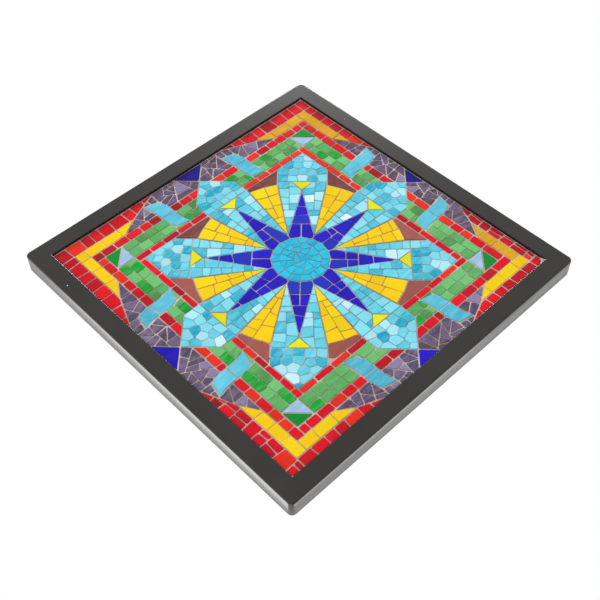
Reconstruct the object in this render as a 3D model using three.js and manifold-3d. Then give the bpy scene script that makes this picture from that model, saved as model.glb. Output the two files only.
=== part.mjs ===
// A square glass mosaic wall panel: a painted wooden frame, a backing board let into it, a grout bed
// on the board, and hand-cut glass set in the grout as an eight-rayed star between banded corners.
// Millimetres, +Z up, as it hangs: the wall is the plane y = 0, and the glass faces -Y.
// Outlines are drawn flat, u to the right and v up as seen from the front, w away from the wall.
import * as THREE from "three";
import { mergeVertices } from "three/addons/utils/BufferGeometryUtils.js";
import Module from "manifold-3d";

const wasm = await Module();
wasm.setup();

// Frame and board
const PANEL_SIDE = 400;
const RAIL_WIDTH = 20;
const CORNER_RADIUS = 5.5;
const EDGE_ROUND = 1;
const RABBET_WIDTH = 8;
const BOARD_THICKNESS = 12;

// Bed and glass, from the board to the front
const BED_THICKNESS = 2.4;
const GLASS_THICKNESS = 4;
const GLASS_RECESS = 3;
const GROUT_DROP = 0.5;
const CLEARANCE = 0.3;

// Joints: between two fields of glass, between the tesserae of one field, and along the frame
const FIELD_JOINT = 1.4;
const TILE_JOINT = 0.9;
const FRAME_JOINT = 1.2;

// The hand-laid pattern sits a little off the frame's centre
const PATTERN_SHIFT_U = 2.5;
const PATTERN_SHIFT_V = 2.5;

// Square bands, from the frame inwards
const BORDER_WIDTH = 14;
const YELLOW_WIDTH = 12.5;
const OUTER_RED_WIDTH = 10;
const GREEN_WIDTH = 22;
const INNER_RED_WIDTH = 7.5;

// The circle that the corner angles end at passes this far outside the middle of each side
const CIRCLE_OVERREACH = 8;

// Star, petals and wedges
const STAR_POINTS = 8;
const DISC_RADIUS = 31;
const STAR_RING_WIDTH = 5;
const RAY_TIP_WIDTH = 2;
const RAY_TIP_GAP = 5;
const TIP_DEPTH = 13;
const TIP_HALF_WIDTH = 12.5;
const PETAL_HALF_WIDTH = 27.5;

// S-shaped ribbons across the bands, two on each side, both shifted one way as they lean one way
const RIBBON_OFFSET = 55;
const RIBBON_SHIFT = 2.7;
const RIBBON_WIDTH = 17;
const RIBBON_END_MARGIN = 10;
const RIBBON_LEAN = 7;
const RIBBON_SLANT = 4;
const RIBBON_STEPS = 3;

// Length of the tesserae in each kind of field
const BORDER_TILE = 22;
const YELLOW_TILE = 32;
const RED_TILE = 21;
const GREEN_TILE = 20;
const RAY_TILE = 24;
const WEDGE_TILE = 26;
const PETAL_TILE = 30;
const DISC_TILE = 20;
const RING_TILE = 30;

// Straight steps in the round stretches
const CIRCLE_SIDES = 36;
const DISC_SIDES = 24;
const WEDGE_ARC_STEPS = 3;
const EDGE_STEPS = 2;
const CORNER_STEPS = 4;

// Levels above the wall
const BOARD_FRONT = BOARD_THICKNESS;
const BED_BACK = BOARD_FRONT + CLEARANCE;
const POCKET_FLOOR = BED_BACK + BED_THICKNESS;
const GLASS_BACK = POCKET_FLOOR + CLEARANCE;
const GLASS_FRONT = GLASS_BACK + GLASS_THICKNESS;
const GROUT_FRONT = GLASS_FRONT - GROUT_DROP;
const FRAME_FRONT = GLASS_FRONT + GLASS_RECESS;
const ABOVE = FRAME_FRONT + PANEL_SIDE;
const BELOW = -PANEL_SIDE;

// Half sizes of the square lines of the pattern, from the frame inwards
const OPENING_HALF = PANEL_SIDE / 2 - RAIL_WIDTH;
const BORDER_INNER = OPENING_HALF - BORDER_WIDTH;
const YELLOW_INNER = BORDER_INNER - YELLOW_WIDTH;
const OUTER_RED_INNER = YELLOW_INNER - OUTER_RED_WIDTH;
const GREEN_INNER = OUTER_RED_INNER - GREEN_WIDTH;
const STAR_HALF = GREEN_INNER - INNER_RED_WIDTH;

// Radii of the pattern. A petal's right-angled tip reaches as far as a corner of the inner red square.
const CIRCLE_RADIUS = OPENING_HALF + CIRCLE_OVERREACH;
const PETAL_TIP_RADIUS = STAR_HALF * Math.SQRT2;
const RAY_BASE_RADIUS = DISC_RADIUS + STAR_RING_WIDTH;
const RAY_TIP_RADIUS = STAR_HALF - TIP_DEPTH - RAY_TIP_GAP;
const STEP = (2 * Math.PI) / STAR_POINTS;
const QUARTER = Math.PI / 2;
const FIELD_INSET = FIELD_JOINT / 2;
const POCKET_INSET = FIELD_INSET - CLEARANCE;
const WEDGE_RADIUS = STAR_HALF - FIELD_JOINT;
const RIBBON_PLACES = [RIBBON_SHIFT - RIBBON_OFFSET, RIBBON_SHIFT + RIBBON_OFFSET];
const QUARTERS = [0, 1, 2, 3];
const POINTS = Array.from({ length: STAR_POINTS }, (_, i) => i);

const point = (u, v) => new THREE.Vector2(u, v);

const polar = (radius, angle) => point(radius * Math.cos(angle), radius * Math.sin(angle));

const turned = (points, angle) => points.map((p) => p.clone().rotateAround(point(0, 0), angle));

const rectangle = (u0, v0, u1, v1) => [point(u0, v0), point(u1, v0), point(u1, v1), point(u0, v1)];

const square = (half) => rectangle(-half, -half, half, half);

const circle = (radius, sides = CIRCLE_SIDES) =>
  Array.from({ length: sides }, (_, i) => polar(radius, (i * 2 * Math.PI) / sides));

/** An outline with each side moved outwards by a distance. The points run counter-clockwise. */
function grown(points, distance) {
  const count = points.length;
  return points.map((p, i) => {
    const before = p.clone().sub(points[(i + count - 1) % count]).normalize();
    const after = points[(i + 1) % count].clone().sub(p).normalize();
    const outBefore = point(before.y, -before.x);
    const outAfter = point(after.y, -after.x);
    const reach = distance / (1 + outBefore.dot(outAfter));
    return p.clone().add(outBefore.add(outAfter).multiplyScalar(reach));
  });
}

/** A closed geometry as a solid that can be cut and joined. */
function solidOf(geometry) {
  const bare = geometry.clone();
  bare.deleteAttribute("normal");
  bare.deleteAttribute("uv");
  const merged = mergeVertices(bare, 1e-4);
  return new wasm.Manifold(
    new wasm.Mesh({
      numProp: 3,
      vertProperties: merged.attributes.position.array,
      triVerts: new Uint32Array(merged.index.array),
    }),
  );
}

/** A solid back as a geometry. */
function geometryOf(solid) {
  const mesh = solid.getMesh();
  const geometry = new THREE.BufferGeometry();
  geometry.setAttribute("position", new THREE.BufferAttribute(mesh.vertProperties, 3));
  geometry.setIndex(new THREE.BufferAttribute(mesh.triVerts, 1));
  geometry.computeVertexNormals();
  return geometry;
}

/** The solid of an outline between two levels above the wall. */
function prism(points, back, front) {
  const depth = front - back;
  const geometry = new THREE.ExtrudeGeometry(new THREE.Shape(points), { depth, bevelEnabled: false });
  geometry.translate(0, 0, back);
  return solidOf(geometry);
}

/** The same for an outline of the pattern, moved from the pattern's centre to its place. */
function patternPrism(points, back, front) {
  const shift = point(PATTERN_SHIFT_U, PATTERN_SHIFT_V);
  return prism(
    points.map((p) => p.clone().add(shift)),
    back,
    front,
  );
}

const join = (solids) => solids.reduce((whole, solid) => whole.add(solid));

/** Cuts the solids of some outlines, through all levels, out of a solid. */
const without = (solid, outlines) =>
  outlines.length ? solid.subtract(join(outlines.map((p) => patternPrism(p, BELOW, ABOVE)))) : solid;

/** Cuts the joints between tesserae into a field's face, down to the grout. */
const scored = (solid, outlines) =>
  solid.subtract(join(outlines.map((p) => patternPrism(p, GROUT_FRONT, ABOVE))));

/** The solid inside an outline, through all levels. */
const within = (solid, outline) => solid.intersect(patternPrism(outline, BELOW, ABOVE));

/** Keeps a field clear of the frame, which the pattern isn't quite centred in. */
function insideFrame(solid, inset) {
  const half = OPENING_HALF - FRAME_JOINT + FIELD_INSET - inset;
  return solid.intersect(prism(square(half), BELOW, ABOVE));
}

/** An angle round the corner of the first quarter, between two square lines, with arms to v = end. */
const angleOutline = (outer, inner, end) => [
  point(inner, end),
  point(outer, end),
  point(outer, outer),
  point(end, outer),
  point(end, inner),
  point(inner, inner),
];

/** Petal: sides that widen from the star's base to full width, then a right-angled tip. */
function petalOutline() {
  const base = polar(RAY_BASE_RADIUS, STEP / 2);
  const shoulder = PETAL_TIP_RADIUS - PETAL_HALF_WIDTH;
  return [
    point(base.x, -base.y),
    point(STAR_HALF, -PETAL_HALF_WIDTH),
    point(shoulder, -PETAL_HALF_WIDTH),
    point(PETAL_TIP_RADIUS, 0),
    point(shoulder, PETAL_HALF_WIDTH),
    point(STAR_HALF, PETAL_HALF_WIDTH),
    base,
  ];
}

/** One ray, from the centre, where the disc takes its place, to its narrow tip. */
function rayOutline() {
  const base = polar(RAY_BASE_RADIUS, STEP / 2);
  const tip = point(RAY_TIP_RADIUS, RAY_TIP_WIDTH / 2);
  return [point(0, 0), point(base.x, -base.y), point(tip.x, -tip.y), tip, base];
}

/** Yellow triangle beyond a ray's tip, pointing at it. */
const tipOutline = () => [
  point(STAR_HALF - TIP_DEPTH, 0),
  point(STAR_HALF, -TIP_HALF_WIDTH),
  point(STAR_HALF, TIP_HALF_WIDTH),
];

/** Yellow wedge, drawn along its own axis, with an arc of straight steps for its outer end. */
function wedgeOutline() {
  const spread = STEP / 2 - Math.asin(PETAL_HALF_WIDTH / WEDGE_RADIUS);
  const arc = Array.from({ length: WEDGE_ARC_STEPS + 1 }, (_, i) =>
    polar(WEDGE_RADIUS, spread * ((2 * i) / WEDGE_ARC_STEPS - 1)),
  );
  return [point(RAY_BASE_RADIUS, 0), ...arc];
}

/** A ribbon on the right-hand side: it leans as it goes outwards, and its ends are slanted. */
function ribbonOutline(offset, growth) {
  const inner = GREEN_INNER + RIBBON_SLANT / 2 - growth;
  const outer = OPENING_HALF - RIBBON_END_MARGIN + growth;
  const halfWidth = RIBBON_WIDTH / 2 + growth;
  const edge = (side) =>
    Array.from({ length: RIBBON_STEPS + 1 }, (_, i) => {
      const s = (2 * i) / RIBBON_STEPS - 1;
      const along = (inner + outer + s * (outer - inner) + side * RIBBON_SLANT) / 2;
      return point(along, offset + (RIBBON_LEAN / 2) * s ** 3 + side * halfWidth);
    });
  return [...edge(-1), ...edge(1).reverse()];
}

/** The same with its inner end carried on past the band that it stops at. */
function ribbonRoomOutline(offset, growth) {
  const outline = ribbonOutline(offset, growth);
  const ends = [outline.at(-1), outline.at(0)].map((p) => point(p.x - RIBBON_SLANT - FIELD_JOINT, p.y));
  return [...outline, ...ends];
}

/** Evenly spaced values between two limits, one spacing from the first and clear of the last. */
function spaced(from, to, spacing) {
  const count = Math.max(1, Math.round(Math.abs(to - from) / spacing));
  return Array.from({ length: count - 1 }, (_, i) => from + ((to - from) * (i + 1)) / count);
}

/** A joint along the line u = at, and one along v = at, between two ends. */
const jointAcross = (at, from, to) => rectangle(at - TILE_JOINT / 2, from, at + TILE_JOINT / 2, to);
const jointAlong = (at, from, to) => rectangle(from, at - TILE_JOINT / 2, to, at + TILE_JOINT / 2);

/** Joints across both arms of a corner angle. */
function angleJoints(outer, inner, end, length) {
  return spaced(inner, end, length).flatMap((v) => [
    jointAlong(v, inner - FIELD_JOINT, outer + FIELD_JOINT),
    jointAcross(v, inner - FIELD_JOINT, outer + FIELD_JOINT),
  ]);
}

/** Room for all eight ribbons, with the grout between a ribbon's slanted end and the band inside it. */
const ribbonRooms = (inset) =>
  QUARTERS.flatMap((i) =>
    RIBBON_PLACES.map((v) => turned(ribbonRoomOutline(v, inset), i * QUARTER)),
  );

/** Room for all eight petals, or with a quarter step for the four that cross the bands. */
const petalRooms = (inset, step) =>
  Array.from({ length: Math.round((2 * Math.PI) / step) }, (_, i) =>
    turned(grown(petalOutline(), inset), i * step),
  );

// The fields of glass. Each function takes the field's turn about the pattern's centre, how far its
// sides stand in from the lines that it shares with its neighbours, and the levels of its faces.

function cornerAngle(outer, inner, end, turn, inset, back, front) {
  return patternPrism(turned(grown(angleOutline(outer, inner, end), -inset), turn), back, front);
}

function borderAngle(turn, inset, back, front) {
  const angle = cornerAngle(PANEL_SIDE / 2, BORDER_INNER, 0, turn, inset, back, front);
  return insideFrame(without(angle, [circle(CIRCLE_RADIUS + inset)]), inset);
}

function yellowAngle(turn, inset, back, front) {
  const angle = cornerAngle(BORDER_INNER, YELLOW_INNER, 0, turn, inset, back, front);
  return without(angle, [circle(CIRCLE_RADIUS + inset)]);
}

function outerRedAngle(turn, inset, back, front) {
  const angle = cornerAngle(YELLOW_INNER, OUTER_RED_INNER, RIBBON_OFFSET, turn, inset, back, front);
  return without(angle, ribbonRooms(inset));
}

function innerRedAngle(turn, inset, back, front) {
  const angle = cornerAngle(GREEN_INNER, STAR_HALF, 0, turn, inset, back, front);
  return without(angle, petalRooms(inset, QUARTER));
}

/** A stretch of the green band from a corner to the nearest ribbon, above or below a side's middle. */
function greenArm(side, turn, inset, back, front) {
  const ends = [side * RIBBON_OFFSET, side * GREEN_INNER].sort((a, b) => a - b);
  const outline = grown(rectangle(GREEN_INNER, ends[0], OUTER_RED_INNER, ends[1]), -inset);
  return without(patternPrism(turned(outline, turn), back, front), ribbonRooms(inset));
}

function petal(turn, inset, back, front) {
  const rooms = [rayOutline(), tipOutline()].map((p) => turned(grown(p, inset), turn));
  return without(patternPrism(turned(grown(petalOutline(), -inset), turn), back, front), rooms);
}

function wedge(turn, inset, back, front) {
  return patternPrism(turned(grown(wedgeOutline(), -inset), turn + STEP / 2), back, front);
}

function disc(turn, inset, back, front) {
  return patternPrism(circle(DISC_RADIUS - inset, DISC_SIDES), back, front);
}

function ribbon(offset, turn, inset, back, front) {
  return patternPrism(turned(ribbonOutline(offset, -inset), turn), back, front);
}

/** The eight rays, joined by the ring of blue glass that they stand on. */
function star(turn, inset, back, front) {
  const ring = patternPrism(circle(RAY_BASE_RADIUS - FIELD_INSET - inset, DISC_SIDES), back, front);
  const rays = POINTS.map((i) => patternPrism(turned(grown(rayOutline(), -inset), i * STEP), back, front));
  return without(join([ring, ...rays]), [circle(DISC_RADIUS + inset, DISC_SIDES)]);
}

/** Purple glass at the middle of a side, between the middles of its ribbons, with the blue triangle in it. */
function sideField(turn, inset, back, front) {
  const strip = rectangle(YELLOW_INNER, RIBBON_PLACES[0], PANEL_SIDE / 2, RIBBON_PLACES[1]);
  const plate = patternPrism(turned(grown(strip, -inset), turn), back, front);
  const rooms = [...ribbonRooms(inset), ...petalRooms(inset, QUARTER)];
  return insideFrame(without(within(plate, circle(CIRCLE_RADIUS - inset)), rooms), inset);
}

/** Joints across and along a side field, and along the two sides of its blue triangle. */
function sideFieldJoints() {
  const tip = point(PETAL_TIP_RADIUS, 0);
  const edge = OPENING_HALF - PETAL_TIP_RADIUS;
  const far = CIRCLE_RADIUS / Math.SQRT2;
  const slanted = [1, -1].map((side) =>
    turned(jointAlong(0, 0, PANEL_SIDE / 2), (side * QUARTER) / 2).map((p) => p.add(tip)),
  );
  const across = spaced(edge, far, RING_TILE).flatMap((v) =>
    [-v, v].map((at) => jointAlong(at, YELLOW_INNER, PANEL_SIDE / 2)),
  );
  const middle = (YELLOW_INNER + OPENING_HALF) / 2;
  return [...slanted, ...across, jointAcross(middle, edge, far), jointAcross(middle, -far, -edge)];
}

const rayJoints = () =>
  POINTS.flatMap((i) =>
    spaced(RAY_BASE_RADIUS, RAY_TIP_RADIUS, RAY_TILE).map((r) =>
      turned(jointAcross(r, -RAY_BASE_RADIUS / 2, RAY_BASE_RADIUS / 2), i * STEP),
    ),
  );

const wedgeJoints = () =>
  [
    jointAlong(0, RAY_BASE_RADIUS + WEDGE_TILE, STAR_HALF),
    ...spaced(RAY_BASE_RADIUS, STAR_HALF, WEDGE_TILE).map((r) =>
      jointAcross(r, -PETAL_HALF_WIDTH, PETAL_HALF_WIDTH),
    ),
  ].map((p) => turned(p, STEP / 2));

const petalJoints = () =>
  spaced(RAY_BASE_RADIUS, PETAL_TIP_RADIUS, PETAL_TILE).map((r) =>
    jointAcross(r, -PETAL_HALF_WIDTH, PETAL_HALF_WIDTH),
  );

const discJoints = () =>
  spaced(-DISC_RADIUS, DISC_RADIUS, DISC_TILE).flatMap((at) => [
    jointAcross(at, -DISC_RADIUS, DISC_RADIUS),
    jointAlong(at, -DISC_RADIUS, DISC_RADIUS),
  ]);

const greenJoints = (side) => [
  jointAcross((GREEN_INNER + OUTER_RED_INNER) / 2, ...[0, side * GREEN_INNER].sort((a, b) => a - b)),
  ...spaced(side * GREEN_INNER, side * RIBBON_OFFSET, GREEN_TILE).map((v) =>
    jointAlong(v, GREEN_INNER, OUTER_RED_INNER),
  ),
];

const ribbonJoints = (offset) => [
  jointAcross((GREEN_INNER + OPENING_HALF) / 2, offset - RIBBON_WIDTH, offset + RIBBON_WIDTH),
];

/** The tiles set straight into the bed in one quarter: small fields, and the purple beyond the ribbons. */
function smallTiles(turn) {
  const tile = (points) =>
    patternPrism(turned(grown(points, -FIELD_INSET), turn), GROUT_FRONT - GROUT_DROP, GLASS_FRONT);
  const low = GREEN_INNER;
  const high = OUTER_RED_INNER;
  const cornerTiles = [
    tile([point(low, low), point(high, low), point(low, high)]),
    tile([point(high, low), point(high, high), point(low, high)]),
  ];
  const tips = [0, STEP].map((angle) => tile(turned(tipOutline(), angle)));
  const slips = without(tile(rectangle(0, 0, STAR_HALF, STAR_HALF)), [
    circle(WEDGE_RADIUS + FIELD_INSET),
    ...petalRooms(FIELD_INSET, STEP),
  ]);
  const besidePetal = [1, -1].flatMap((side) => {
    const ends = [0, side * RIBBON_OFFSET].sort((a, b) => a - b);
    return [
      tile(rectangle(OUTER_RED_INNER, ends[0], YELLOW_INNER, ends[1])),
      tile(rectangle(GREEN_INNER, ends[0], OUTER_RED_INNER, ends[1])),
    ].map((plate) => without(plate, [...ribbonRooms(FIELD_INSET), ...petalRooms(FIELD_INSET, QUARTER)]));
  });
  const beyondRibbons = RIBBON_PLACES.map((place) => {
    const ends = [place, Math.sign(place) * CIRCLE_RADIUS].sort((a, b) => a - b);
    const plate = tile(rectangle(YELLOW_INNER, ends[0], PANEL_SIDE / 2, ends[1]));
    const round = within(plate, circle(CIRCLE_RADIUS - FIELD_INSET));
    return insideFrame(without(round, ribbonRooms(FIELD_INSET)), FIELD_INSET);
  });
  return join([...cornerTiles, ...tips, slips, ...besidePetal, ...beyondRibbons]);
}

/** The frame: a ring with rounded corners and edges, and a rabbet behind for the board. */
function frameSolid() {
  const half = PANEL_SIDE / 2 - EDGE_ROUND;
  const radius = CORNER_RADIUS - EDGE_ROUND;
  const outline = new THREE.Shape();
  const corners = [point(1, 1), point(-1, 1), point(-1, -1), point(1, -1)];
  corners.forEach(({ x, y }, i) => {
    outline.absarc(x * (half - radius), y * (half - radius), radius, i * QUARTER, (i + 1) * QUARTER, false);
  });
  const body = new THREE.ExtrudeGeometry(outline, {
    depth: FRAME_FRONT - 2 * EDGE_ROUND,
    bevelThickness: EDGE_ROUND,
    bevelSize: EDGE_ROUND,
    bevelSegments: EDGE_STEPS,
    curveSegments: CORNER_STEPS,
  });
  body.translate(0, 0, EDGE_ROUND);
  return solidOf(body)
    .subtract(prism(square(OPENING_HALF), BELOW, ABOVE))
    .subtract(prism(square(OPENING_HALF + RABBET_WIDTH), BELOW, BOARD_FRONT + CLEARANCE));
}

const boardSolid = () => prism(square(OPENING_HALF + RABBET_WIDTH - CLEARANCE), 0, BOARD_FRONT);

/** The bed: a slab with a pocket for each field of glass, and the small tiles standing in it. */
function bedSolid(pockets) {
  const slab = prism(square(OPENING_HALF - CLEARANCE), BED_BACK, GROUT_FRONT);
  return slab.subtract(join(pockets)).add(join(QUARTERS.map((i) => smallTiles(i * QUARTER))));
}

const paint = new THREE.MeshStandardMaterial({ color: 0x2b2927, roughness: 0.45 });
const boardWood = new THREE.MeshStandardMaterial({ color: 0x3a3531, roughness: 0.8 });
const grout = new THREE.MeshStandardMaterial({ color: 0xb9a59c, roughness: 0.9 });

const glassOf = (color) => new THREE.MeshStandardMaterial({ color, roughness: 0.15 });
const red = glassOf(0xd4002a);
const yellow = glassOf(0xffd000);
const green = glassOf(0x4ea850);
const blue = glassOf(0x2420c8);
const cyan = glassOf(0x6fd6ea);
const turquoise = glassOf(0x1ebeeb);
const purple = glassOf(0x5f506e);

const CORNERS = ["upper_right", "upper_left", "lower_left", "lower_right"];
const SIDES = ["right", "top", "left", "bottom"];
const COMPASS = ["east", "north_east", "north", "north_west", "west", "south_west", "south", "south_east"];

/** One field of glass: its name, its turn, its material, the function that makes it and its joints. */
const field = (name, turn, material, make, joints) => ({ name, turn, material, make, joints });

const cornerFields = CORNERS.flatMap((corner, i) => {
  const turn = i * QUARTER;
  return [
    field(`border_${corner}`, turn, red, borderAngle,
      angleJoints(PANEL_SIDE / 2, BORDER_INNER, 0, BORDER_TILE)),
    field(`yellow_${corner}`, turn, yellow, yellowAngle,
      angleJoints(BORDER_INNER, YELLOW_INNER, 0, YELLOW_TILE)),
    field(`outer_red_${corner}`, turn, red, outerRedAngle,
      angleJoints(YELLOW_INNER, OUTER_RED_INNER, RIBBON_OFFSET, RED_TILE)),
    field(`inner_red_${corner}`, turn, red, innerRedAngle,
      angleJoints(GREEN_INNER, STAR_HALF, 0, RED_TILE)),
  ];
});

const sideFields = SIDES.flatMap((side, i) => {
  const turn = i * QUARTER;
  const pair = RIBBON_PLACES.flatMap((offset, j) => {
    const way = Math.sign(offset);
    const number = 2 * i + j + 1;
    return [
      field(`green_${number}`, turn, green, (...rest) => greenArm(way, ...rest), greenJoints(way)),
      field(`ribbon_${number}`, turn, turquoise, (...rest) => ribbon(offset, ...rest), ribbonJoints(offset)),
    ];
  });
  return [field(`side_${side}`, turn, purple, sideField, sideFieldJoints()), ...pair];
});

const starFields = [
  field("centre_disc", 0, turquoise, disc, discJoints()),
  field("star_rays", 0, blue, star, rayJoints()),
  ...COMPASS.flatMap((way, i) => [
    field(`petal_${way}`, i * STEP, cyan, petal, petalJoints()),
    field(`wedge_${i + 1}`, i * STEP, yellow, wedge, wedgeJoints()),
  ]),
];

const fields = [...cornerFields, ...sideFields, ...starFields];

function meshOf(name, solid, material) {
  const mesh = new THREE.Mesh(geometryOf(solid), material);
  mesh.name = name;
  return mesh;
}

function glassMesh({ name, turn, material, make, joints }) {
  const plate = make(turn, FIELD_INSET, GLASS_BACK, GLASS_FRONT);
  return meshOf(name, scored(plate, joints.map((p) => turned(p, turn))), material);
}

const pockets = fields.map(({ turn, make }) => make(turn, POCKET_INSET, POCKET_FLOOR, ABOVE));

const panel = new THREE.Group();
panel.add(meshOf("frame", frameSolid(), paint));
panel.add(meshOf("backing_board", boardSolid(), boardWood));
panel.add(meshOf("grout_bed", bedSolid(pockets), grout));
for (const each of fields) panel.add(glassMesh(each));

// Stood up: what was drawn away from the wall now faces -Y
panel.rotation.x = QUARTER;

export default panel;
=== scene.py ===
"""A framed glass mosaic wall panel: every tessera cut, set in grout and dressed.

Blender works in metres. The pattern is drawn flat in millimetres, u to the right and v up as seen from
the front, and a level is a height above the wall, which is the plane y = 0. The glass faces -Y.
"""

import logging
import math
import random
from dataclasses import dataclass, field
from enum import Enum

import bpy
from mathutils import Matrix, Vector, noise


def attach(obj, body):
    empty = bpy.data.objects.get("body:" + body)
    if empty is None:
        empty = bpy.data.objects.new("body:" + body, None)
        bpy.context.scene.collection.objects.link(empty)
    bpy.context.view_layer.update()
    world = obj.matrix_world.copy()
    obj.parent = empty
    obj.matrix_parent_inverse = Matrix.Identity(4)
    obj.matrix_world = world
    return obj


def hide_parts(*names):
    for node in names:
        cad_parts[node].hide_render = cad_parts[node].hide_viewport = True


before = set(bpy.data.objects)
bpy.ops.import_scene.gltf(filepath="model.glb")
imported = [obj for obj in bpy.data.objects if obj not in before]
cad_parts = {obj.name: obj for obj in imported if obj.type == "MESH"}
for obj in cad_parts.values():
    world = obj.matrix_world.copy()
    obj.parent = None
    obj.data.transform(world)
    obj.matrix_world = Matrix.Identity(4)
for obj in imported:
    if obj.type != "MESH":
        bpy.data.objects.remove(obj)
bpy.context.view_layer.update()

MM = 0.001
BODY = "root"
LOG = logging.getLogger("mosaic")

Point = tuple[float, float]
Outline = list[Point]
Place = tuple[float, float, float]
Range = tuple[float, float]
Tree = bpy.types.NodeTree
Piece = bpy.types.Object
ALL_SHEETS = (0.0, 1.0)
QUARTER = math.pi / 2
STEP = math.pi / 4


# How glass is cut, in millimetres and radians

POINTS_APART = 0.05
LEAST_INSET_AREA = 0.8
LEAST_HALF_AREA = 1.0
LEAST_TESSERA_AREA = 3.0
LEAST_COURSE_AREA = 4.0
LEAST_MITRE = 0.12
LAST_COURSE_SHARE = 0.6
NIP = 0.9
NIP_RANGE = (0.5, 1.4)
NIP_SHARE = 0.3
POINT_STRAY = 0.1
SHARD_RANGE = (1.0, 1.7)
SHARD_SHIFT = 0.18
SHARD_TURN = 0.45
JOINT_STRAY = (-0.1, 0.12)
SHADE_RANGE = (0.92, 1.06)
WORN_EDGE = 0.35
TILT = 0.03


# Driving sizes in millimetres, as in the part

PANEL_HALF = 200.0
OPENING_HALF = 180.0
FRAME_JOINT = 1.2
FIELD_JOINT = 1.3
TILE_JOINT = 0.95
PATTERN_SHIFT = (2.5, 2.5)

BORDER_INNER = OPENING_HALF - 14.0
YELLOW_INNER = BORDER_INNER - 12.5
OUTER_RED_INNER = YELLOW_INNER - 10.0
GREEN_INNER = OUTER_RED_INNER - 22.0
STAR_HALF = GREEN_INNER - 7.5
CIRCLE_RADIUS = OPENING_HALF + 8.0

DISC_RADIUS = 31.0
RAY_BASE_RADIUS = DISC_RADIUS + 5.0
RAY_BASE = (RAY_BASE_RADIUS * math.cos(STEP / 2), RAY_BASE_RADIUS * math.sin(STEP / 2))
RAY_TIP = (96.0, 1.0)
TRIANGLE_APEX = (101.0, 0.0)
TRIANGLE_HALF = 12.5
PETAL_HALF = 27.5
PETAL_TIP = STAR_HALF * math.sqrt(2)
SHOULDER = PETAL_TIP - PETAL_HALF
WEDGE_RADIUS = STAR_HALF - 1.4
WEDGE_SPREAD = STEP / 2 - math.asin(PETAL_HALF / WEDGE_RADIUS)

RIBBON_OFFSET = 55.0
RIBBON_SHIFT = 2.7
RIBBON_WIDTH = 17.0
RIBBON_LEAN = 7.0
RIBBON_SLANT = 4.0
RIBBON_IN = GREEN_INNER + RIBBON_SLANT / 2
RIBBON_OUT = OPENING_HALF - 10.0

BED_BACK = 12.3
GLASS_BACK = 15.0
GROUT_FRONT = 18.4
GLASS_FRONT = 19.0
FRAME_FRONT = 22.0


class Corner(Enum):
    """A corner of the panel, with the number of the side that it follows, counter-clockwise."""

    UPPER_RIGHT = 0
    UPPER_LEFT = 1
    LOWER_LEFT = 2
    LOWER_RIGHT = 3


class Side(Enum):
    """A side of the panel, with its number counter-clockwise from the right."""

    RIGHT = 0
    TOP = 1
    LEFT = 2
    BOTTOM = 3


# Flat geometry


def turned(points: Outline, angle: float) -> Outline:
    """Turns an outline counter-clockwise about the pattern's centre."""
    c, s = math.cos(angle), math.sin(angle)
    return [(c * u - s * v, s * u + c * v) for u, v in points]


def polar(radius: float, angle: float) -> Point:
    """Gives the point at a radius and an angle."""
    return (radius * math.cos(angle), radius * math.sin(angle))


def between(a: Point, b: Point, share: float) -> Point:
    """Gives the point at a share of the way from one point to another."""
    return (a[0] + share * (b[0] - a[0]), a[1] + share * (b[1] - a[1]))


def stray(rng: random.Random, reach: float) -> float:
    """Draws a distance or an angle that is at most a reach either way."""
    return rng.uniform(-reach, reach)


def sides_of(points: Outline) -> list[tuple[Point, Point]]:
    """Gives the two ends of each side of an outline."""
    return list(zip(points, points[1:] + points[:1]))


def area_of(points: Outline) -> float:
    """Gives an outline's area, positive when it runs counter-clockwise."""
    return sum(a[0] * b[1] - b[0] * a[1] for a, b in sides_of(points)) / 2


def middle_of(points: Outline) -> Point:
    """Works out an outline's centre of area.

    Args:
        points: the outline.

    Returns:
        The centre.
    """
    total = area_of(points)
    u = v = 0.0
    for a, b in sides_of(points):
        cross = a[0] * b[1] - b[0] * a[1]
        u += (a[0] + b[0]) * cross
        v += (a[1] + b[1]) * cross
    return (u / (6 * total), v / (6 * total))


def cleaned(points: Outline) -> Outline:
    """Drops points that lie on the one before them, and the whole outline where only two are left."""
    kept = [p for i, p in enumerate(points) if math.dist(p, points[i - 1]) > POINTS_APART]
    return kept if len(kept) > 2 else []


def clipped(points: Outline, origin: Point, direction: Point) -> Outline:
    """Keeps what lies to the left of a line.

    Args:
        points: the outline.
        origin: a point on the line.
        direction: the way that the line runs.

    Returns:
        The part to the left, or an empty list.
    """
    def side(p: Point) -> float:
        """Gives how far a point is to the left of the line."""
        return direction[0] * (p[1] - origin[1]) - direction[1] * (p[0] - origin[0])

    kept: Outline = []
    for a, b in sides_of(points):
        side_a, side_b = side(a), side(b)
        if side_a >= 0:
            kept.append(a)
        if side_a > 0 > side_b or side_a < 0 < side_b:
            kept.append(between(a, b, side_a / (side_a - side_b)))
    return cleaned(kept)


def halves(points: Outline, origin: Point, angle: float) -> list[Outline]:
    """Cuts an outline in two along a line.

    Args:
        points: the outline.
        origin: a point on the line.
        angle: the line's direction in radians.

    Returns:
        The parts on the left and on the right, without empty ones.
    """
    parts = [clipped(points, origin, polar(way, angle)) for way in (1.0, -1.0)]
    return [part for part in parts if part and area_of(part) > LEAST_HALF_AREA]


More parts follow.
